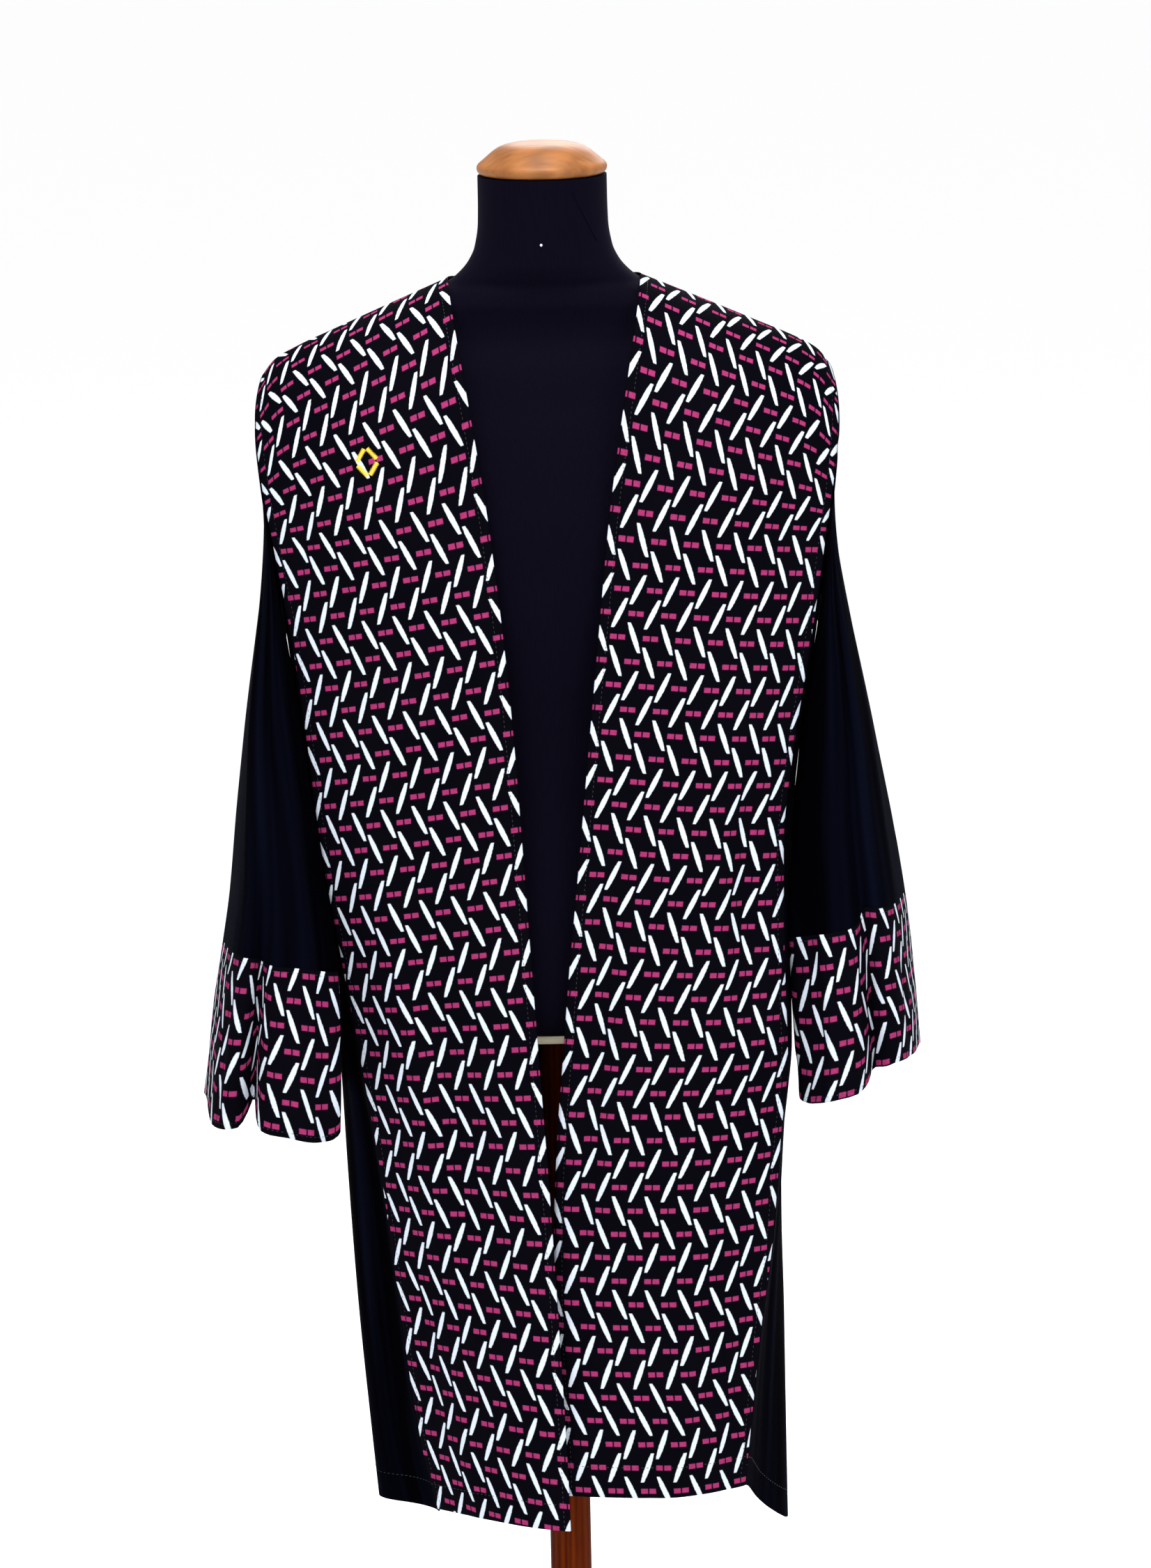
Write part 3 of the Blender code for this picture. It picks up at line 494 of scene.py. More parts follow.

# %% [markdown]
# ## Creases
#
# Real cloth has small creases between its long folds: drag lines from the neck and armhole,
# and soft dents where the gown was folded in its bag. They could be left to a simulation, but
# each one listed here can follow the photograph, and the hidden sides get similar ones.
# Each leans a little and fades out, and no two are alike.

# %% Creases placed one by one
# Place and drift are percent of the piece's width, and the rest is in millimetres.
CREASE_COLUMNS = ("place", "drift", "low", "high", "width", "depth")
CREASES = {
    "panel_right": [
        (50, 5, 600, 860, 10, -3.2), (63, 3, 640, 930, 8, 2.6), (28, -4, 470, 720, 9, -2.2),
        (86, -3, 370, 590, 10, -2.8), (16, 6, 880, 1160, 8, -1.6), (75, -8, 1010, 1240, 9, -2.0),
        (36, 10, 1080, 1330, 9, 1.6), (10, 2, 340, 520, 7, 1.8), (66, -2, 330, 500, 9, 2.4),
        (92, -16, 1180, 1330, 8, -1.8), (55, 14, 1240, 1390, 8, -1.0),
    ],
    "panel_left": [
        (12, 2, 420, 960, 7, -2.8), (22, 1, 520, 1010, 8, 2.4), (82, -5, 820, 1080, 8, -2.8),
        (70, -3, 760, 1030, 8, 2.0), (45, 6, 330, 560, 11, -2.6), (62, 2, 360, 640, 9, 2.2),
        (88, 2, 330, 620, 9, -2.4), (36, -8, 1060, 1300, 9, -1.5), (90, -15, 1170, 1330, 8, -1.8),
        (52, 12, 1230, 1380, 8, 1.0), (-2, 0, 330, 900, 16, -13.0),
    ],
    "side_front_right": [
        (30, 10, 420, 1020, 9, -3.0), (62, -12, 360, 900, 8, 2.6), (80, -25, 900, 1180, 7, -2.0),
    ],
    "side_front_left": [
        (25, 8, 380, 960, 9, -3.0), (55, 10, 340, 760, 8, 2.4), (78, -20, 880, 1170, 7, -2.0),
    ],
    "back": [
        (7, 3, 330, 980, 12, -3.4), (16, -2, 350, 720, 10, 2.6), (24, 3, 480, 1130, 12, -2.8),
        (35, -3, 330, 660, 11, 3.0), (42, 2, 700, 1250, 10, -2.0), (48, -1, 340, 900, 13, -3.2),
        (57, 3, 420, 1020, 11, 2.8), (66, -2, 330, 700, 10, -2.8), (74, 2, 560, 1200, 12, -2.6),
        (84, -3, 340, 830, 11, 3.0), (93, 2, 360, 940, 10, -3.0), (20, 10, 1210, 1390, 12, -2.2),
        (80, -10, 1200, 1380, 12, -2.2), (38, 4, 1260, 1420, 12, 1.6),
        (62, -4, 1240, 1420, 12, 1.6),
    ],
    "sleeve_right": [
        (22, 2, 860, 1180, 8, -3.2), (33, -3, 900, 1230, 8, -2.4), (44, 3, 880, 1100, 8, 0.8),
        (58, 2, 870, 1200, 9, -2.8), (68, -3, 900, 1260, 9, 2.6), (80, 3, 860, 1160, 9, -3.0),
        (92, -2, 930, 1300, 9, -2.2), (9, 3, 900, 1250, 9, 2.2), (14, -5, 1150, 1370, 8, -1.6),
        (86, 5, 1140, 1360, 8, -1.6), (36, 2, 945, 1230, 20, 9.4), (38, 0, 540, 1015, 16, 12.5),
    ],
    "sleeve_left": [
        (19, -2, 880, 1220, 8, -3.0), (27, 2, 890, 1120, 7, 2.6), (36, 3, 900, 1200, 8, -2.4),
        (45, -3, 880, 1090, 8, 2.2), (60, 3, 890, 1220, 9, -2.8), (72, -2, 900, 1270, 9, 2.4),
        (82, 2, 880, 1140, 9, -3.0), (94, 2, 950, 1310, 9, -2.2), (6, -3, 900, 1230, 9, 2.2),
        (12, 5, 1160, 1370, 8, -1.6), (36, 2, 955, 1232, 20, 7.0), (38, 0, 650, 1025, 16, 12.4),
    ],
    "cuff_right": [
        (8, 1, 700, 850, 7, -1.8), (30, -1, 690, 840, 7, -2.2), (42, 1, 700, 880, 7, 1.8),
        (60, 2, 700, 860, 8, -2.2), (75, -2, 690, 850, 8, 2.0), (92, 1, 700, 870, 8, -2.0),
        (38, 0, 540, 1015, 16, 12.5),
    ],
    "cuff_left": [
        (7, -1, 730, 890, 7, -1.8), (29, 2, 720, 880, 7, -2.0), (40, -1, 730, 890, 7, 1.8),
        (58, -2, 730, 900, 8, -2.2), (73, 2, 720, 880, 8, 2.0), (90, -1, 730, 900, 8, -2.0),
        (38, 0, 650, 1025, 16, 12.4), (41, 0, 560, 775, 24, -10.0),
    ],
}
FADE_POWER = 0.8


def facing(node):
    """Whether a piece is a tube, and the sign that turns its normals outward."""
    return node.startswith(("sleeve", "cuff")), 1.0 if node.endswith("left") else -1.0


def ring_of(grid, closed):
    """The grid of a tube gets its first column again after its last one."""
    return np.concatenate([grid, grid[:, :1]], axis=1) if closed else grid


def grid_normals(grid, closed, sign):
    if closed:
        across = np.roll(grid, -1, axis=1) - np.roll(grid, 1, axis=1)
    else:
        across = np.gradient(grid, axis=1)
    return unit(np.cross(across, np.gradient(grid, axis=0)) * sign)


def crease(grid, closed, sign, table):
    """Pushes the grid out and in along the creases of its table."""
    rows, columns = grid.shape[:2]
    share = np.linspace(0, 1, columns + closed)[:columns]
    if closed:
        share = (share + 0.5) % 1.0
    width = length_of(np.diff(ring_of(grid, closed), axis=1)).sum(axis=1)
    push = np.zeros((rows, columns))
    z = grid[..., 2]
    for line in named(CREASE_COLUMNS, table):
        t = np.clip((z - line["low"]) / (line["high"] - line["low"]), 0, 1)
        aside = share - line["place"] / 100 - line["drift"] / 100 * t
        if closed:
            aside = (aside + 0.5) % 1.0 - 0.5
        fade = np.sin(math.pi * t) ** FADE_POWER
        push += line["depth"] * np.exp(-((aside * width / line["width"]) ** 2)) * fade
    return grid + grid_normals(grid, closed, sign) * push[..., None]


for node in NODES:
    grids[node] = crease(grids[node], *facing(node), CREASES[node])
print("creases:", sum(len(table) for table in CREASES.values()))

# %% [markdown]
# ## Colours and nodes
#
# Colours are written as the sRGB hex values that a screen shows, and the renderer wants them
# linear. Every node of every material is added by one small function below.

# %% Colour and node helpers
def linear(hex_colour):
    channels = [int(hex_colour[i : i + 2], 16) / 255 for i in (1, 3, 5)]
    return tuple(c / 12.92 if c <= 0.04045 else ((c + 0.055) / 1.055) ** 2.4 for c in channels) + (1.0,)


def set_inputs(node, inputs):
    """Gives each named input its value, or a link from another node."""
    for key, value in dict(inputs).items():
        if isinstance(value, bpy.types.Node):
            value = value.outputs[0]
        if isinstance(value, bpy.types.NodeSocket):
            node.id_data.links.new(value, node.inputs[key])
        else:
            node.inputs[key].default_value = value


def add_node(tree, kind, inputs=(), ramp=(), **settings):
    """Adds a node with its settings, its inputs and the stops of its colour ramp."""
    node = tree.nodes.new(kind)
    for name, value in settings.items():
        setattr(node, name, value)
    set_inputs(node, inputs)
    for i, (position, colour) in enumerate(ramp):
        stop = node.color_ramp.elements[i]
        stop.position, stop.color = position, linear(colour)
    return node


def new_material(name):
    material = bpy.data.materials.new(name)
    material.use_nodes = True
    return material, material.node_tree, material.node_tree.nodes["Principled BSDF"]


print("gown black is", [round(c, 4) for c in linear("#0b0b12")[:3]], "linear")

# %% [markdown]
# ## Plain black gown cloth
#
# Gowns are sewn from matt polyester crepe or a fine twill. It gives the eye almost no shine,
# only a faint cool bloom where it turns away, which is the nap catching light. The threads
# lie 0.35 mm apart, too fine to show, so the weave is drawn at 1.2 mm.

# %% Black polyester crepe
WEAVE_MM = 1.2


def add_weave(tree):
    """A plain weave from two sets of waves across the cloth's own coordinates."""
    place = add_node(tree, "ShaderNodeUVMap", uv_map="cloth")
    waves = {"Vector": place, "Scale": 1 / (WEAVE_MM * MM) / 20 * 6.2}
    warp, weft = (add_node(tree, "ShaderNodeTexWave", waves, bands_direction=way) for way in "XY")
    both = {0: warp.outputs["Fac"], 1: weft.outputs["Fac"]}
    woven = add_node(tree, "ShaderNodeMath", both, operation="MULTIPLY")
    nap = add_node(tree, "ShaderNodeTexNoise", {"Vector": place, "Scale": 260.0, "Detail": 4.0})
    height = add_node(tree, "ShaderNodeMath", {0: woven, 1: nap}, operation="ADD")
    return add_node(tree, "ShaderNodeBump", {"Height": height, "Strength": 0.35, "Distance": 0.0004})


def cloth_look(tree, shader, colour, shine):
    set_inputs(shader, {
        "Base Color": colour, "Normal": add_weave(tree), "Roughness": 0.8, "Specular IOR Level": shine,
        "Sheen Weight": 0.004, "Sheen Roughness": 0.45, "Sheen Tint": linear("#8f96b8"),
    })


crepe, tree, shader = new_material("black_polyester_crepe")
place = add_node(tree, "ShaderNodeUVMap", uv_map="cloth")
# The colour ramp lays faint bluish streaks down the cloth: painted sheen where the folds would catch
# the light.
drop = add_node(tree, "ShaderNodeMapping", {0: place, "Scale": (5.0, 0.2, 1.0)})
cloud = add_node(tree, "ShaderNodeTexNoise", {"Vector": drop, "Scale": 9.0, "Detail": 2.0})
tone = add_node(tree, "ShaderNodeValToRGB", {"Fac": cloud}, ((0.45, "#010103"), (0.75, "#060814")))
cloth_look(tree, shader, tone, 0.004)
print("made", crepe.name)

# %% [markdown]
# ## Patterned gown cloth
#
# The panels and cuffs are the same cloth with a screen print. The print here is a plain
# broken zigzag: in each narrow column a leaf-shaped white stroke leans one way, the next one
# the other way, with a pair of small pink blocks between them, and each second column drops
# by half a step. It could be painted as an image. Instead arithmetic on the cloth's own
# coordinates says which spots are inked, so it stays sharp at any distance and turns with
# every fold.

# %% Screen-printed crepe
COLUMN_PITCH = 15.15
STEP_HEIGHT = 44.0
STROKE_WIDTH = 5.0
STROKE_SLIMS = 0.006
STROKE_HALF_HEIGHT = 13.6
STROKE_LEAN = 0.40
BLOCK_AT = 3.8
BAR_LENGTH = 6.2
BAR_WIDTH = 4.6
INK_EDGE = 0.7
SHARP = 1 / INK_EDGE
EDGE_PHASE = 5.5
PRINT_SUMS = [
    ("u", "MULTIPLY_ADD", "uv_x", 1000.0, EDGE_PHASE),
    ("frayed_u", "MULTIPLY_ADD", "thread", 0.9, "u"),
    ("column", "DIVIDE", "frayed_u", COLUMN_PITCH),
    ("whole_column", "FLOOR", "column"),
    ("in_column", "SUBTRACT", "column", "whole_column"),
    ("x", "MULTIPLY_ADD", "in_column", COLUMN_PITCH, -COLUMN_PITCH / 2),
    ("second_column", "WRAP", "whole_column", 2.0, 0.0),
    ("drop", "MULTIPLY", "second_column", 0.5),
    ("step", "MULTIPLY_ADD", "uv_y", 1000.0 / STEP_HEIGHT, "drop"),
    ("whole_step", "FLOOR", "step"),
    ("in_step", "SUBTRACT", "step", "whole_step"),
    ("y", "MULTIPLY_ADD", "in_step", STEP_HEIGHT, -STEP_HEIGHT / 2),
    ("second_step", "WRAP", "whole_step", 2.0, 0.0),
    ("lean", "MULTIPLY_ADD", "second_step", -2 * STROKE_LEAN, STROKE_LEAN),
    ("slide", "MULTIPLY", "lean", "y"),
    ("from_stroke", "SUBTRACT", "x", "slide"),
    ("level", "ABSOLUTE", "y"),
    ("slimming", "MULTIPLY", "level", "level"),
    ("from_middle", "ABSOLUTE", "from_stroke"),
    ("stroke_aside", "MULTIPLY_ADD", "slimming", STROKE_SLIMS, "from_middle"),
    ("stroke_across", "MULTIPLY_ADD", "stroke_aside", -SHARP, STROKE_WIDTH / 2 / INK_EDGE + 0.5),
    ("stroke_along", "MULTIPLY_ADD", "level", -SHARP, STROKE_HALF_HEIGHT / INK_EDGE + 0.5),
    ("from_bar", "ABSOLUTE", "x"),
    ("from_block", "SUBTRACT", "from_bar", BLOCK_AT),
    ("bar_aside", "ABSOLUTE", "from_block"),
    ("bar_along", "MULTIPLY_ADD", "bar_aside", -SHARP, BAR_LENGTH / 2 / INK_EDGE + 0.5),
    ("bar_across", "MULTIPLY_ADD", "level", SHARP, 0.5 - (STEP_HEIGHT - BAR_WIDTH) / 2 / INK_EDGE),
    ("white_ink", "MULTIPLY", "stroke_across", "stroke_along"),
    ("pink_ink", "MULTIPLY", "bar_across", "bar_along"),
]
CLAMPED = ("stroke_across", "stroke_along", "bar_along", "bar_across")

printed, tree, shader = new_material("screen_printed_crepe")
place = add_node(tree, "ShaderNodeUVMap", uv_map="cloth")
spot = add_node(tree, "ShaderNodeSeparateXYZ", {0: place})
thread = add_node(tree, "ShaderNodeTexNoise", {"Vector": place, "Scale": 420.0, "Detail": 2.0})
results = {"uv_x": spot.outputs[0], "uv_y": spot.outputs[1], "thread": thread.outputs[0]}
for name, operation, *values in PRINT_SUMS:
    inputs = {i: results.get(value, value) for i, value in enumerate(values)}
    settings = {"operation": operation, "use_clamp": name in CLAMPED}
    results[name] = add_node(tree, "ShaderNodeMath", inputs, **settings)
cloud = add_node(tree, "ShaderNodeTexNoise", {"Vector": place, "Scale": 9.0, "Detail": 3.0})
ground = add_node(tree, "ShaderNodeValToRGB", {"Fac": cloud}, ((0.0, "#030308"), (1.0, "#08070d")))
pink = add_node(tree, "ShaderNodeValToRGB", {"Fac": thread}, ((0.0, "#7e2350"), (1.0, "#a3366d")))
inks = {0: results["pink_ink"], 6: ground, 7: pink}
with_pink = add_node(tree, "ShaderNodeMix", inks, data_type="RGBA")
inks = {0: results["white_ink"], 6: with_pink.outputs[2], 7: linear("#c8d1de")}
with_white = add_node(tree, "ShaderNodeMix", inks, data_type="RGBA")
cloth_look(tree, shader, with_white.outputs[2], 0.008)
print("made", printed.name, "with", len(PRINT_SUMS), "sums")

# %% [markdown]
# ## From grid to cloth
#
# A shell could be given its thickness by a Solidify modifier. Here the two skins and a round
# rim are laid directly, which keeps the coordinates of the print right up to the folded edge.
# The coordinates are lengths along the cloth in metres, so the print is as large on every
# piece as on the real one.

# %% Shells with a folded edge
CLOTH = 2.0
SEAM = 0.3
RIM_ROUNDS_BY = 0.35
PRINT_STARTS_AT = 500.0


def trim(grid, edges):
    """Draws the named edges back, so that two pieces meet at a fine seam line."""
    pulls = {"bottom": (0, 1, 0), "top": (-1, -2, 0), "first": (0, 1, 1), "last": (-1, -2, 1)}
    grid = grid.copy()
    for edge in edges:
        border, inside, axis = pulls[edge]
        rim, near = np.take(grid, border, axis=axis), np.take(grid, inside, axis=axis)
        moved = rim + unit(near - rim) * SEAM / 2
        np.moveaxis(grid, axis, 0)[border] = moved
    return grid


def cloth_lengths(grid, closed, tilt):
    """How far each point lies across and along the cloth, in metres."""
    ring = ring_of(grid, closed)
    across = np.cumsum(length_of(np.diff(ring, axis=1))[..., 0], axis=1)
    across = np.concatenate([np.zeros((len(grid), 1)), across], axis=1)
    if closed:
        across[:] = across.mean(axis=0)
    along = np.cumsum(length_of(np.diff(ring, axis=0))[..., 0], axis=0).mean(axis=1)
    along = np.concatenate([[0.0], along])[:, None]
    slope = np.interp(ring[:, :1, 2], *tilt) if tilt else 0.0
    along = along + np.tan(np.radians(slope)) * (across - across[:, -1:] / 2)
    return np.stack([across, along + PRINT_STARTS_AT], -1) * MM


def placed(name, data):
    """An object for the data, linked to the scene."""
    obj = bpy.data.objects.new(name, data)
    bpy.context.scene.collection.objects.link(obj)
    return obj


def mesh_of(name, points, faces, material):
    """A mesh through points in millimetres."""
    mesh = bpy.data.meshes.new(name)
    mesh.from_pydata((points.reshape(-1, 3) * MM).tolist(), [], faces)
    mesh.materials.append(material)
    mesh.shade_smooth()
    return mesh


def ridden(name, data, node=None):
    """An object that moves with the part, in the place of a node where one is named."""
    obj = placed(name, data)
    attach(obj, "root")
    if node:
        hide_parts(node)
    return obj


def sew(name, grid, closed, sign, material, tilt=None):
    """A closed shell of cloth on the grid, with its own coordinates."""
    rows, columns = grid.shape[:2]
    normals = grid_normals(grid, closed, sign) * CLOTH / 2
    uv = cloth_lengths(grid, closed, tilt)
    flat = grid.reshape(-1, 3)
    count = len(flat)
    spans = np.arange(columns if closed else columns - 1)
    corners, spots = [], []
    for up, over in ((0, 0), (0, 1), (1, 1), (1, 0)):
        row, column = np.broadcast_arrays(np.arange(rows - 1)[:, None] + up, spans[None] + over)
        corners.append(row * columns + column % columns)
        spots.append(uv[row, column])
    quads = np.stack(corners, -1).reshape(-1, 4)
    quad_uv = np.stack(spots, -2).reshape(-1, 4, 2)
    faces = [quads, quads[:, ::-1] + count]
    face_uv = [quad_uv, quad_uv[:, ::-1]]
    points = [flat + normals.reshape(-1, 3), flat - normals.reshape(-1, 3)]
    made = 2 * count
    across = np.arange(columns + closed)
    borders = [(np.zeros_like(across), across, 1, 0), (np.full_like(across, rows - 1), across, -1, 0)]
    if not closed:
        up = np.arange(rows)
        borders += [(up, np.zeros_like(up), 0, 1), (up, np.full_like(up, columns - 1), 0, -1)]
    for row, column, in_row, in_column in borders:
        place = row * columns + column % columns
        inside = (row + in_row) * columns + (column + in_column) % columns
        rim = flat[place] + unit(flat[place] - flat[inside]) * CLOTH * RIM_ROUNDS_BY
        if closed:
            rim = rim[:-1]
        ends = made + (np.arange(len(place)) % len(rim))
        for outer in (place, place + count):
            strip = np.stack([outer[:-1], outer[1:], ends[1:], ends[:-1]], -1)
            faces.append(strip)
            edge = uv[row, column]
            face_uv.append(np.stack([edge[:-1], edge[1:], edge[1:], edge[:-1]], 1))
        points.append(rim)
        made += len(rim)
    mesh = mesh_of(name, np.concatenate(points), np.concatenate(faces).tolist(), material)
    layer = mesh.uv_layers.new(name="cloth")
    layer.data.foreach_set("uv", np.concatenate(face_uv).reshape(-1))
    work = bmesh.new()
    work.from_mesh(mesh)
    bmesh.ops.remove_doubles(work, verts=work.verts, dist=1e-6)
    bmesh.ops.recalc_face_normals(work, faces=work.faces)
    work.to_mesh(mesh)
    work.free()
    return mesh


def cut_of(grid, closed):
    """The width, length and area of the cut piece, in metres."""
    ring = ring_of(grid, closed)
    wide, long = (length_of(np.diff(ring, axis=axis))[..., 0] for axis in (1, 0))
    wide_here, long_here = (wide[1:] + wide[:-1]) / 2, (long[:, 1:] + long[:, :-1]) / 2
    area = (wide_here * long_here).sum() * MM * MM
    return (wide.sum(axis=1).max() * MM, long.sum(axis=0).max() * MM), area


# %% Sew the nine pieces
TRIMMED = {
    "panel": ("top", "last"), "side_front": ("first", "last"), "sleeve": ("bottom",), "cuff": (),
    "back": ("top", "first", "last"),
}
PRINT_TILT = {
    "panel_right": ([330, 600, 900, 1250, 1500], [-4, 0, 8, 10, 10]),
    "panel_left": ([330, 700, 900, 1250, 1500], [0, 0, 4, 6, 6]),
}


def kind_of(node):
    """The kind of a piece, whichever side it is on."""
    return node.removesuffix("_right").removesuffix("_left")


sewn, cuts = {}, {}
for node in NODES:
    grid = grids[node] = trim(grids[node], TRIMMED[kind_of(node)])
    patterned = kind_of(node) in ("panel", "cuff")
    name, material = f"{node}_cloth", printed if patterned else crepe
    mesh = sew(name, grid, *facing(node), material, PRINT_TILT.get(node))
    sewn[node] = ridden(name, mesh, node)
    flat, area = cuts[node] = cut_of(grid, facing(node)[0])
    print(node, "cut", [round(x, 3) for x in flat], "area", round(area, 3), "m2")
print("cloth triangles:", sum(2 * len(piece.data.polygons) for piece in sewn.values()))

# %% [markdown]
# ## Stitches
#
# Hems, cuffs, the back neck and both long edges of each panel are held by rows of machine
# stitches. Each stitch is a short thread that sinks into the cloth at both ends. They are real
# little shapes, because a line drawn in the material would have no light and shade.

# %% Rows of machine stitches
STITCH_LENGTH = 3.4
STITCH_GAP = 1.2
STITCH_WIDTH = 0.8
STITCH_PROUD = 0.45
STITCH_SINK = 0.1


def thread_points(starts, ends, up, width):
    """Six points for each thread, from where it leaves the cloth to where it sinks in."""
    middle = (starts + ends) / 2
    aside = unit(np.cross(ends - starts, up)) * width / 2
    lift = up * (CLOTH / 2 - STITCH_SINK)
    crown = up * STITCH_PROUD
    return np.stack([
        starts + lift, starts + lift + crown * 0.1,
        middle + lift - aside, middle + lift + crown, middle + lift + aside,
        ends + lift + crown * 0.1,
    ], 1)


def stitch_row(path, normals, closed):
    """The threads along a row of points on the cloth."""
    if closed:
        path, normals = np.vstack([path, path[:1]]), np.vstack([normals, normals[:1]])
    way = way_along(path)
    starts = np.arange(2.0, way[-1] - STITCH_LENGTH, STITCH_LENGTH + STITCH_GAP)
    first, last = (points_at(at, way, path) for at in (starts, starts + STITCH_LENGTH))
    return thread_points(first, last, unit(points_at(starts, way, normals)), STITCH_WIDTH)


def stitched(name, threads, material):
    points = np.concatenate(threads)
    base = np.arange(len(points))[:, None] * 6
    faces = []
    for face in ([0, 2, 3, 1], [0, 1, 3, 4], [5, 3, 2], [5, 4, 3]):
        faces += (base + face).tolist()
    return mesh_of(name, points, faces, material)


thread_black, tree, shader = new_material("black_polyester_thread")
twist = add_node(tree, "ShaderNodeTexNoise", {"Scale": 2500.0})
bump = add_node(tree, "ShaderNodeBump", {"Height": twist, "Strength": 0.3, "Distance": 0.0002})
set_inputs(shader, {"Base Color": linear("#15151f"), "Roughness": 0.5, "Normal": bump})


def row_near(grid, millimetres):
    """Number of the row that lies this far from the first one."""
    way = np.cumsum(length_of(np.diff(grid, axis=0))[..., 0].mean(axis=1))
    return 1 + int(np.searchsorted(way, millimetres))


# Where each kind of piece is stitched: along a column, a row, or a hem so many mm up.
STITCHED = {
    "panel": (("column", 2), ("column", -3), ("hem", 24.0)), "side_front": (("hem", 24.0),),
    "sleeve": (), "cuff": (("row", 1), ("row", -2)), "back": (("hem", 24.0), ("row", -2)),
}


def seams_of(node):
    grid, (closed, sign) = grids[node], facing(node)
    normals = grid_normals(grid, closed, sign)
    for line, at in STITCHED[kind_of(node)]:
        if line == "column":
            yield stitch_row(grid[:, at], normals[:, at], False)
        else:
            row = row_near(grid, at) if line == "hem" else at
            yield stitch_row(grid[row], normals[row], closed)


stitches = {}
for node in NODES:
    threads = list(seams_of(node))
    if threads:
        name = f"{node}_stitches"
        stitches[node] = ridden(name, stitched(name, threads, thread_black))
print("stitches:", {node: len(piece.data.vertices) // 6 for node, piece in stitches.items()})

# %% [markdown]
# ## A small embroidered motif
#
# Gowns often carry a small mark on the chest. Here it is a plain open lozenge of four satin-
# stitched bars in yellow thread: each bar is a row of threads laid side by side across it.

# %% Embroidered lozenge
MOTIF_AT = np.array([-168.0, -110.0, 1334.0])
MOTIF_HALF = (11.0, 14.0)
MOTIF_BAR = 5.4
THREAD_PITCH = 0.7
CORNER_GAP = 0.14
YELLOW_THREAD_WIDTH = 1.0
grid = grids["panel_right"]
normals = grid_normals(grid, *facing("panel_right"))
away = np.linalg.norm(grid - MOTIF_AT, axis=-1)
row, column = np.unravel_index(away.argmin(), away.shape)
centre, up = grid[row, column], normals[row, column]
tall = unit(grid[row + 6, column] - grid[row - 6, column])
wide = unit(np.cross(up, tall))
wide, tall = wide * MOTIF_HALF[0], tall * MOTIF_HALF[1]
corners = [wide, tall, -wide, -tall]
bars = []
for start, end in zip(corners, corners[1:] + corners[:1]):
    bar_length = float(length_of(end - start)[0])
    t = np.arange(CORNER_GAP, 1 - CORNER_GAP, THREAD_PITCH / bar_length)[:, None]
    spine = centre + start + (end - start) * t
    across = unit(np.cross(end - start, up)) * MOTIF_BAR / 2
    upward = np.repeat(up[None], len(t), axis=0)
    bars.append(thread_points(spine - across, spine + across, upward, YELLOW_THREAD_WIDTH))
yellow, tree, shader = new_material("yellow_rayon_thread")
strands = add_node(tree, "ShaderNodeTexNoise", {"Scale": 1800.0, "Detail": 2.0})
tone = add_node(tree, "ShaderNodeValToRGB", {"Fac": strands}, ((0.0, "#d9a90e"), (1.0, "#ffe14a")))
set_inputs(shader, {"Base Color": tone, "Roughness": 0.45})
name = "embroidered_lozenge"
motif = ridden(name, stitched(name, bars, yellow))
print("motif threads:", sum(len(bar) for bar in bars))

# %% [markdown]
# ## The cut sizes
#
# For each piece, the width, length and area of its flat cut are read back and its stitches
# gathered, and the area is held to no more than its width times its length.

for node in NODES:
    flat, area = cuts[node]
    threads = [stitches[node]] if node in stitches else []
    threads += [motif] if node == "panel_right" else []
    area = min(area, flat[0] * flat[1])
print("sheets:", len(sewn))

# %% [markdown]
# ## The dress form
#
# The form is a padded torso under stretched jersey. It is lofted through ellipses, finer than
# its solid. Jersey is knitted from a loop every 0.7 mm; it is drawn at 1.4 mm as faint ribs
# that run down the form, with a soft deep violet bloom.

# %% Padded torso under jersey
TORSO_COLUMNS = ("z", "half_width", "half_depth", "forward")
TORSO = [
    (797, 150, 100, 0), (812, 163, 108, 0), (850, 171, 113, 0), (900, 172, 114, 0),
    (960, 165, 110, 0), (1020, 158, 105, 0), (1080, 160, 104, 1), (1140, 172, 107, 3),
    (1200, 188, 110, 4), (1260, 204, 109, 4), (1310, 216, 102, 3), (1350, 224, 92, 2),
    (1385, 228, 80, 0), (1410, 227, 70, 0), (1423, 222, 62, 0), (1431, 214, 57, 0),
    (1439, 200, 54, 0), (1448.6, 178.5, 53, 0), (1458.6, 155.5, 54, 0), (1469, 131, 56, 0),
    (1479, 108.5, 54.5, 0), (1486, 90, 53, 0), (1494, 79, 57, 0), (1505, 69.5, 60, 0),
    (1518, 63.5, 60, 0), (1540, 60, 59.5, 0), (1565, 59.5, 59, 0), (1583.5, 59.5, 59.5, 0),
]
FORM_SIDES = 96


def closed_rings(name, rings, material):
    """The mesh of a closed body through rings of points, with flat ends."""
    count, sides = rings.shape[:2]
    index = np.arange(count * sides).reshape(count, sides)
    after = np.roll(index, -1, axis=1)
    quads = np.stack([index[:-1], after[:-1], after[1:], index[1:]], -1).reshape(-1, 4)
    faces = quads.tolist() + [index[0, ::-1].tolist(), index[-1].tolist()]
    mesh = mesh_of(name, rings, faces, material)
    mesh.set_sharp_from_angle(angle=math.radians(50))
    return mesh


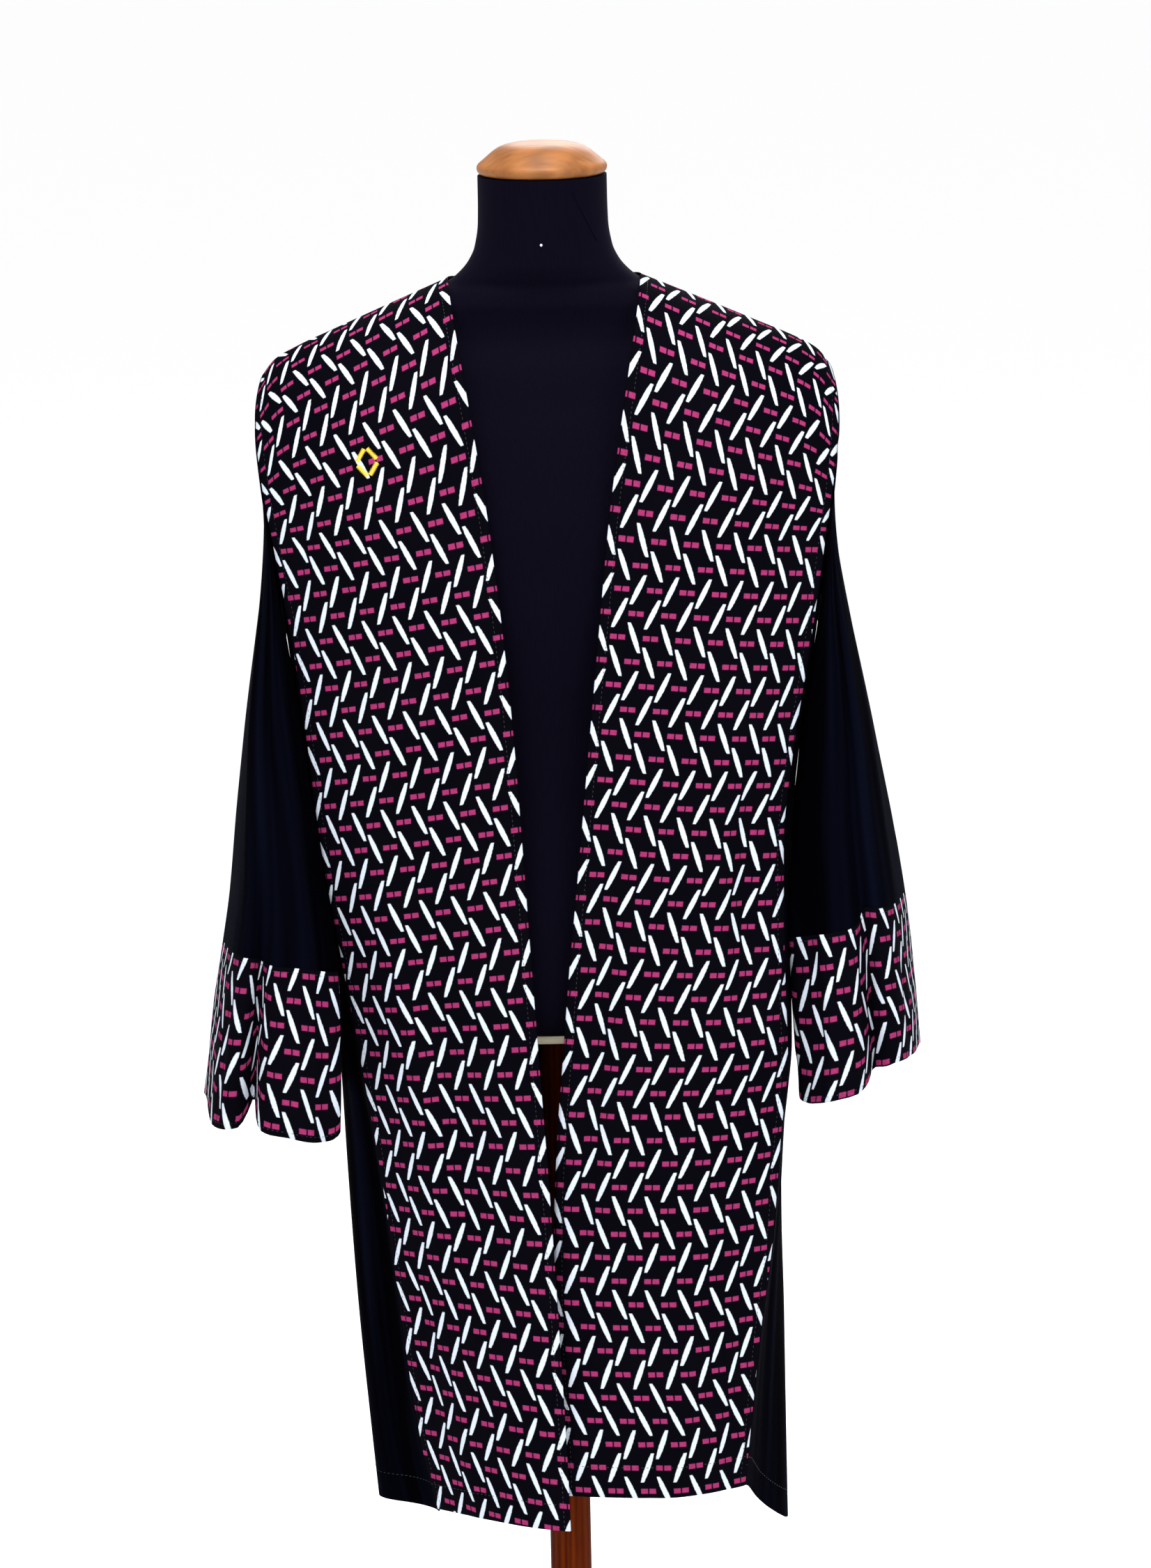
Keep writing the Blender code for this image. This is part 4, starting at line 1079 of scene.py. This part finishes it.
jersey, tree, shader = new_material("violet_black_jersey")
place = add_node(tree, "ShaderNodeTexCoord")
ribbing = {0: place.outputs["Object"], "Scale": (700.0, 700.0, 60.0)}
around = add_node(tree, "ShaderNodeMapping", ribbing)
ribs = add_node(tree, "ShaderNodeTexNoise", {"Vector": around, "Scale": 1.0, "Detail": 2.0})
bump = add_node(tree, "ShaderNodeBump", {"Height": ribs, "Strength": 0.25, "Distance": 0.0005})
tone = add_node(tree, "ShaderNodeValToRGB", {"Fac": ribs}, ((0.0, "#020109"), (1.0, "#060411")))
set_inputs(shader, {
    "Base Color": tone, "Normal": bump, "Roughness": 0.85, "Specular IOR Level": 0.04,
    "Sheen Weight": 0.02, "Sheen Tint": linear("#7466b8"),
})

levels = [np.linspace(low[0], high[0], 5, endpoint=False) for low, high in zip(TORSO, TORSO[1:])]
levels = np.concatenate(levels + [[TORSO[-1][0]]])
sizes = sizes_at(TORSO_COLUMNS, TORSO, levels)
angle = np.linspace(0, 2 * math.pi, FORM_SIDES, endpoint=False)[None]
rings = np.stack([
    sizes["half_width"][:, None] * np.cos(angle),
    sizes["half_depth"][:, None] * np.sin(angle) - sizes["forward"][:, None],
    np.repeat(levels[:, None], FORM_SIDES, axis=1),
], -1)
ridden("jersey_torso", closed_rings("jersey_torso", rings, jersey), "form_torso")
print("torso rings:", len(levels))

# %% [markdown]
# ## Seam and pin on the neck
#
# The jersey is closed by a short slanting seam on the neck, and a pin's pale head shows at
# the throat. The seam is a fine cord that follows the neck's surface.

# %% Neck seam and pin
SEAM_FROM, SEAM_BY = (28.0, 1572.0), (21.0, -46.0)
PIN_AT, PIN_RADIUS = (-2.0, 1525.0), 1.3


def on_form(x, z):
    """The point of the form's front at this x and height."""
    sizes = sizes_at(TORSO_COLUMNS, TORSO, z)
    y = -sizes["half_depth"] * np.sqrt(1 - (x / sizes["half_width"]) ** 2) - sizes["forward"]
    return np.stack([x + 0 * y, y, z + 0 * y], -1)


t = np.linspace(0, 1, 24)
seam_line = on_form(SEAM_FROM[0] + SEAM_BY[0] * t, SEAM_FROM[1] + SEAM_BY[1] * t)
curve = bpy.data.curves.new("neck_seam", "CURVE")
curve.dimensions = "3D"
curve.bevel_depth = 0.9 * MM
curve.bevel_resolution = 3
spline = curve.splines.new("POLY")
spline.points.add(len(seam_line) - 1)
spline.points.foreach_set("co", np.insert(seam_line * MM, 3, 1.0, axis=1).reshape(-1))
curve.materials.append(jersey)
ridden("neck_seam", curve)

pearl, tree, shader = new_material("pale_glass_pin_head")
cloud = add_node(tree, "ShaderNodeTexNoise", {"Scale": 900.0})
bump = add_node(tree, "ShaderNodeBump", {"Height": cloud, "Strength": 0.1, "Distance": 0.0001})
set_inputs(shader, {"Base Color": linear("#cfcbd6"), "Roughness": 0.25, "Normal": bump})
work = bmesh.new()
bmesh.ops.create_uvsphere(work, u_segments=20, v_segments=12, radius=PIN_RADIUS * MM)
middle = on_form(*np.array(PIN_AT)) * MM
bmesh.ops.translate(work, verts=work.verts, vec=middle + np.array([0, -0.0006, 0]))
mesh = bpy.data.meshes.new("pin_head")
work.to_mesh(mesh)
work.free()
mesh.shade_smooth()
mesh.materials.append(pearl)
ridden("pin_head", mesh)
print("pin at", middle.round(4))

# %% [markdown]
# ## Turned wood
#
# The neck cap, pole and foot are turned on a lathe. A profile is spun in fine steps, and its
# corners are cut twice so that the light runs round them. The cap is beech under honey-
# coloured varnish and the stand is stained brown. On turned wood the grain shows as long
# streaks down the pole and across the cap.

# %% Varnished and stained beech
def beech(name, dark, light, roughness, shine, streaks):
    material, tree, shader = new_material(name)
    place = add_node(tree, "ShaderNodeTexCoord")
    stretched = add_node(tree, "ShaderNodeMapping", {0: place.outputs["Object"], "Scale": streaks})
    fine = {"Vector": stretched, "Scale": 1.0, "Detail": 6.0, "Roughness": 0.6}
    grain = add_node(tree, "ShaderNodeTexNoise", fine)
    waves = {"Vector": stretched, "Scale": 0.35, "Distortion": 6.0, "Detail": 3.0}
    rings = add_node(tree, "ShaderNodeTexWave", waves, bands_direction="X")
    sums = {0: rings.outputs["Fac"], 1: 0.25, 2: grain}
    faint = add_node(tree, "ShaderNodeMath", sums, operation="MULTIPLY_ADD")
    tone = add_node(tree, "ShaderNodeValToRGB", {"Fac": faint}, ((0.4, dark), (0.85, light)))
    bump = {"Height": grain, "Strength": 0.12, "Distance": 0.0004}
    set_inputs(shader, {
        "Base Color": tone, "Normal": add_node(tree, "ShaderNodeBump", bump),
        "Roughness": roughness, "Specular IOR Level": shine,
        "Coat Weight": shine * 0.4, "Coat Roughness": 0.3,
    })
    return material


honey = beech("honey_varnished_beech", "#784922", "#975f30", 0.5, 0.2, (25.0, 140.0, 90.0))
brown = beech("brown_stained_beech", "#421303", "#652605", 0.6, 0.02, (160.0, 160.0, 9.0))
print("made", honey.name, "and", brown.name)

# %% Turned pieces
CAP_PROFILE = [
    (52.0, 0.0), (57.0, 1.0), (59.8, 4.0), (60.2, 8.0), (58.6, 10.8), (54.5, 14.0), (49.0, 18.8),
    (43.5, 23.4), (36.0, 27.2), (26.0, 29.3), (10.0, 30.3),
]
FOOT_PROFILE = [
    (166.0, 0.0), (170.0, 4.0), (170.0, 14.0), (164.0, 20.0), (148.0, 25.0), (60.0, 28.0),
    (25.0, 28.0),
]
POLE_PROFILE = [(18.2, 28.3), (19.0, 29.1), (19.0, 788.6), (18.2, 789.4)]
TURNED_SIDES = 96
CAP_STANDS_AT = 1583.8
BOARD_STANDS_AT = 789.7
BOARD_FLATTENED = 102 / 152


def cut_corners(profile, times):
    """Each corner of the profile becomes two softer ones."""
    line = np.array(profile, float)
    for _ in range(times):
        near, far = line[:-1] * 0.75 + line[1:] * 0.25, line[:-1] * 0.25 + line[1:] * 0.75
        line = np.vstack([line[:1], np.stack([near, far], 1).reshape(-1, 2)[1:-1], line[-1:]])
    return line


def turned(name, profile, height, material, node, flatten=1.0):
    line = cut_corners(profile, 2)
    angle = np.linspace(0, 2 * math.pi, TURNED_SIDES, endpoint=False)[None]
    rings = np.stack([
        line[:, :1] * np.cos(angle), line[:, :1] * np.sin(angle) * flatten,
        np.repeat(line[:, 1:] + height, TURNED_SIDES, axis=1),
    ], -1)
    return ridden(name, closed_rings(name, rings, material), node)


turned("varnished_cap", CAP_PROFILE, CAP_STANDS_AT, honey, "neck_cap")
turned("stained_foot", FOOT_PROFILE, 0.0, brown, "foot")
turned("stained_pole", POLE_PROFILE, 0.0, brown, "pole")
print("turned pieces have", TURNED_SIDES, "sides")

# %% [markdown]
# ## The board under the torso
#
# A thin raw board closes the torso below, and its pale edge shows in the front opening.

# %% Pale board
raw, tree, shader = new_material("raw_plywood_edge")
place = add_node(tree, "ShaderNodeTexCoord")
plies = add_node(tree, "ShaderNodeMapping", {0: place.outputs["Object"], "Scale": (30.0, 30.0, 900.0)})
grain = add_node(tree, "ShaderNodeTexNoise", {"Vector": plies, "Scale": 1.0, "Detail": 4.0})
pale = ((0.0, "#8f8870"), (1.0, "#c2bca3"))
set_inputs(shader, {
    "Base Color": add_node(tree, "ShaderNodeValToRGB", {"Fac": grain}, pale),
    "Normal": add_node(tree, "ShaderNodeBump", {"Height": grain, "Strength": 0.2, "Distance": 0.0003}),
    "Roughness": 0.8,
})
BOARD_PROFILE = [(151.0, 0.0), (152.0, 0.8), (152.0, 6.2), (151.0, 7.0)]
turned("raw_board", BOARD_PROFILE, BOARD_STANDS_AT, raw, "torso_base", BOARD_FLATTENED)
print("made", raw.name)

# %% [markdown]
# ## Floor, light and camera
#
# A broad pale floor fills the view, and large soft lights give the even light of a product
# photograph. The camera stands 12 m away, 9 degrees up, with a long lens, as the even sizes
# in the photograph ask.

# %% Floor and lights
paper, tree, shader = new_material("white_studio_paper")
white = (1.0, 1.0, 1.0, 1.0)
set_inputs(shader, {
    "Base Color": linear("#f6f6f6"), "Roughness": 0.9,
    "Emission Color": white, "Emission Strength": 0.42,
})
corners = np.array([(-40, -40, 0), (40, -40, 0), (40, 60, 0), (-40, 60, 0)]) / MM
placed("floor", mesh_of("floor", corners, [(0, 1, 2, 3)], paper))

world = bpy.data.worlds.new("soft_white_room")
world.use_nodes = True
set_inputs(world.node_tree.nodes["Background"], {0: white, 1: 0.6})
bpy.context.scene.world = world
LIGHT_COLUMNS = ("name", "place", "size", "watts")
LIGHTS = [
    ("key_softbox", (-1.6, -3.4, 3.4), 1.6, 50),
    ("fill_softbox", (2.4, -3.2, 2.2), 1.8, 45),
    ("back_softbox", (0.5, 3.2, 3.0), 1.8, 60),
    ("top_softbox", (0.0, -0.9, 4.3), 1.6, 130),
]
for light in named(LIGHT_COLUMNS, LIGHTS):
    data = bpy.data.lights.new(light["name"], "AREA")
    data.energy, data.size = light["watts"], light["size"]
    lamp = placed(light["name"], data)
    lamp.location = light["place"]
    towards = np.array([0, 0, 1.0]) - np.array(light["place"])
    tip = math.atan2(math.hypot(towards[0], towards[1]), -towards[2])
    lamp.rotation_euler = (tip, 0, math.atan2(-towards[0], towards[1]))
bpy.context.scene.view_settings.view_transform = "Standard"
print("lights:", len(LIGHTS))

# %% Camera
DISTANCE = 12.0
ELEVATION = math.radians(9.0)
ROLL = math.radians(1.2)
AIM = np.array([0.0191, 0.0, 1.0157])
PHOTO_HEIGHT_PX = 2251
FOCAL_PX = 18604.65
ahead = np.array([0.0, math.cos(ELEVATION), -math.sin(ELEVATION)])
level_up = np.array([0.0, math.sin(ELEVATION), math.cos(ELEVATION)])
level_right = np.array([1.0, 0.0, 0.0])
up = level_up * math.cos(ROLL) + level_right * math.sin(ROLL)
right = level_right * math.cos(ROLL) - level_up * math.sin(ROLL)
stand = AIM - ahead * DISTANCE
data = bpy.data.cameras.new("photo_camera")
data.sensor_fit = "AUTO"
data.sensor_width = 36.0
data.lens = FOCAL_PX / PHOTO_HEIGHT_PX * data.sensor_width
data.clip_end = 200.0
camera = placed("photo_camera", data)
axes = np.column_stack([right, up, -ahead, stand])
camera.matrix_world = Matrix(np.vstack([axes, [0.0, 0.0, 0.0, 1.0]]).tolist())
bpy.context.scene.camera = camera
print("lens", round(data.lens, 1), "mm at", stand.round(3))

# %% [markdown]
# ## Finish
#


print("scene built")
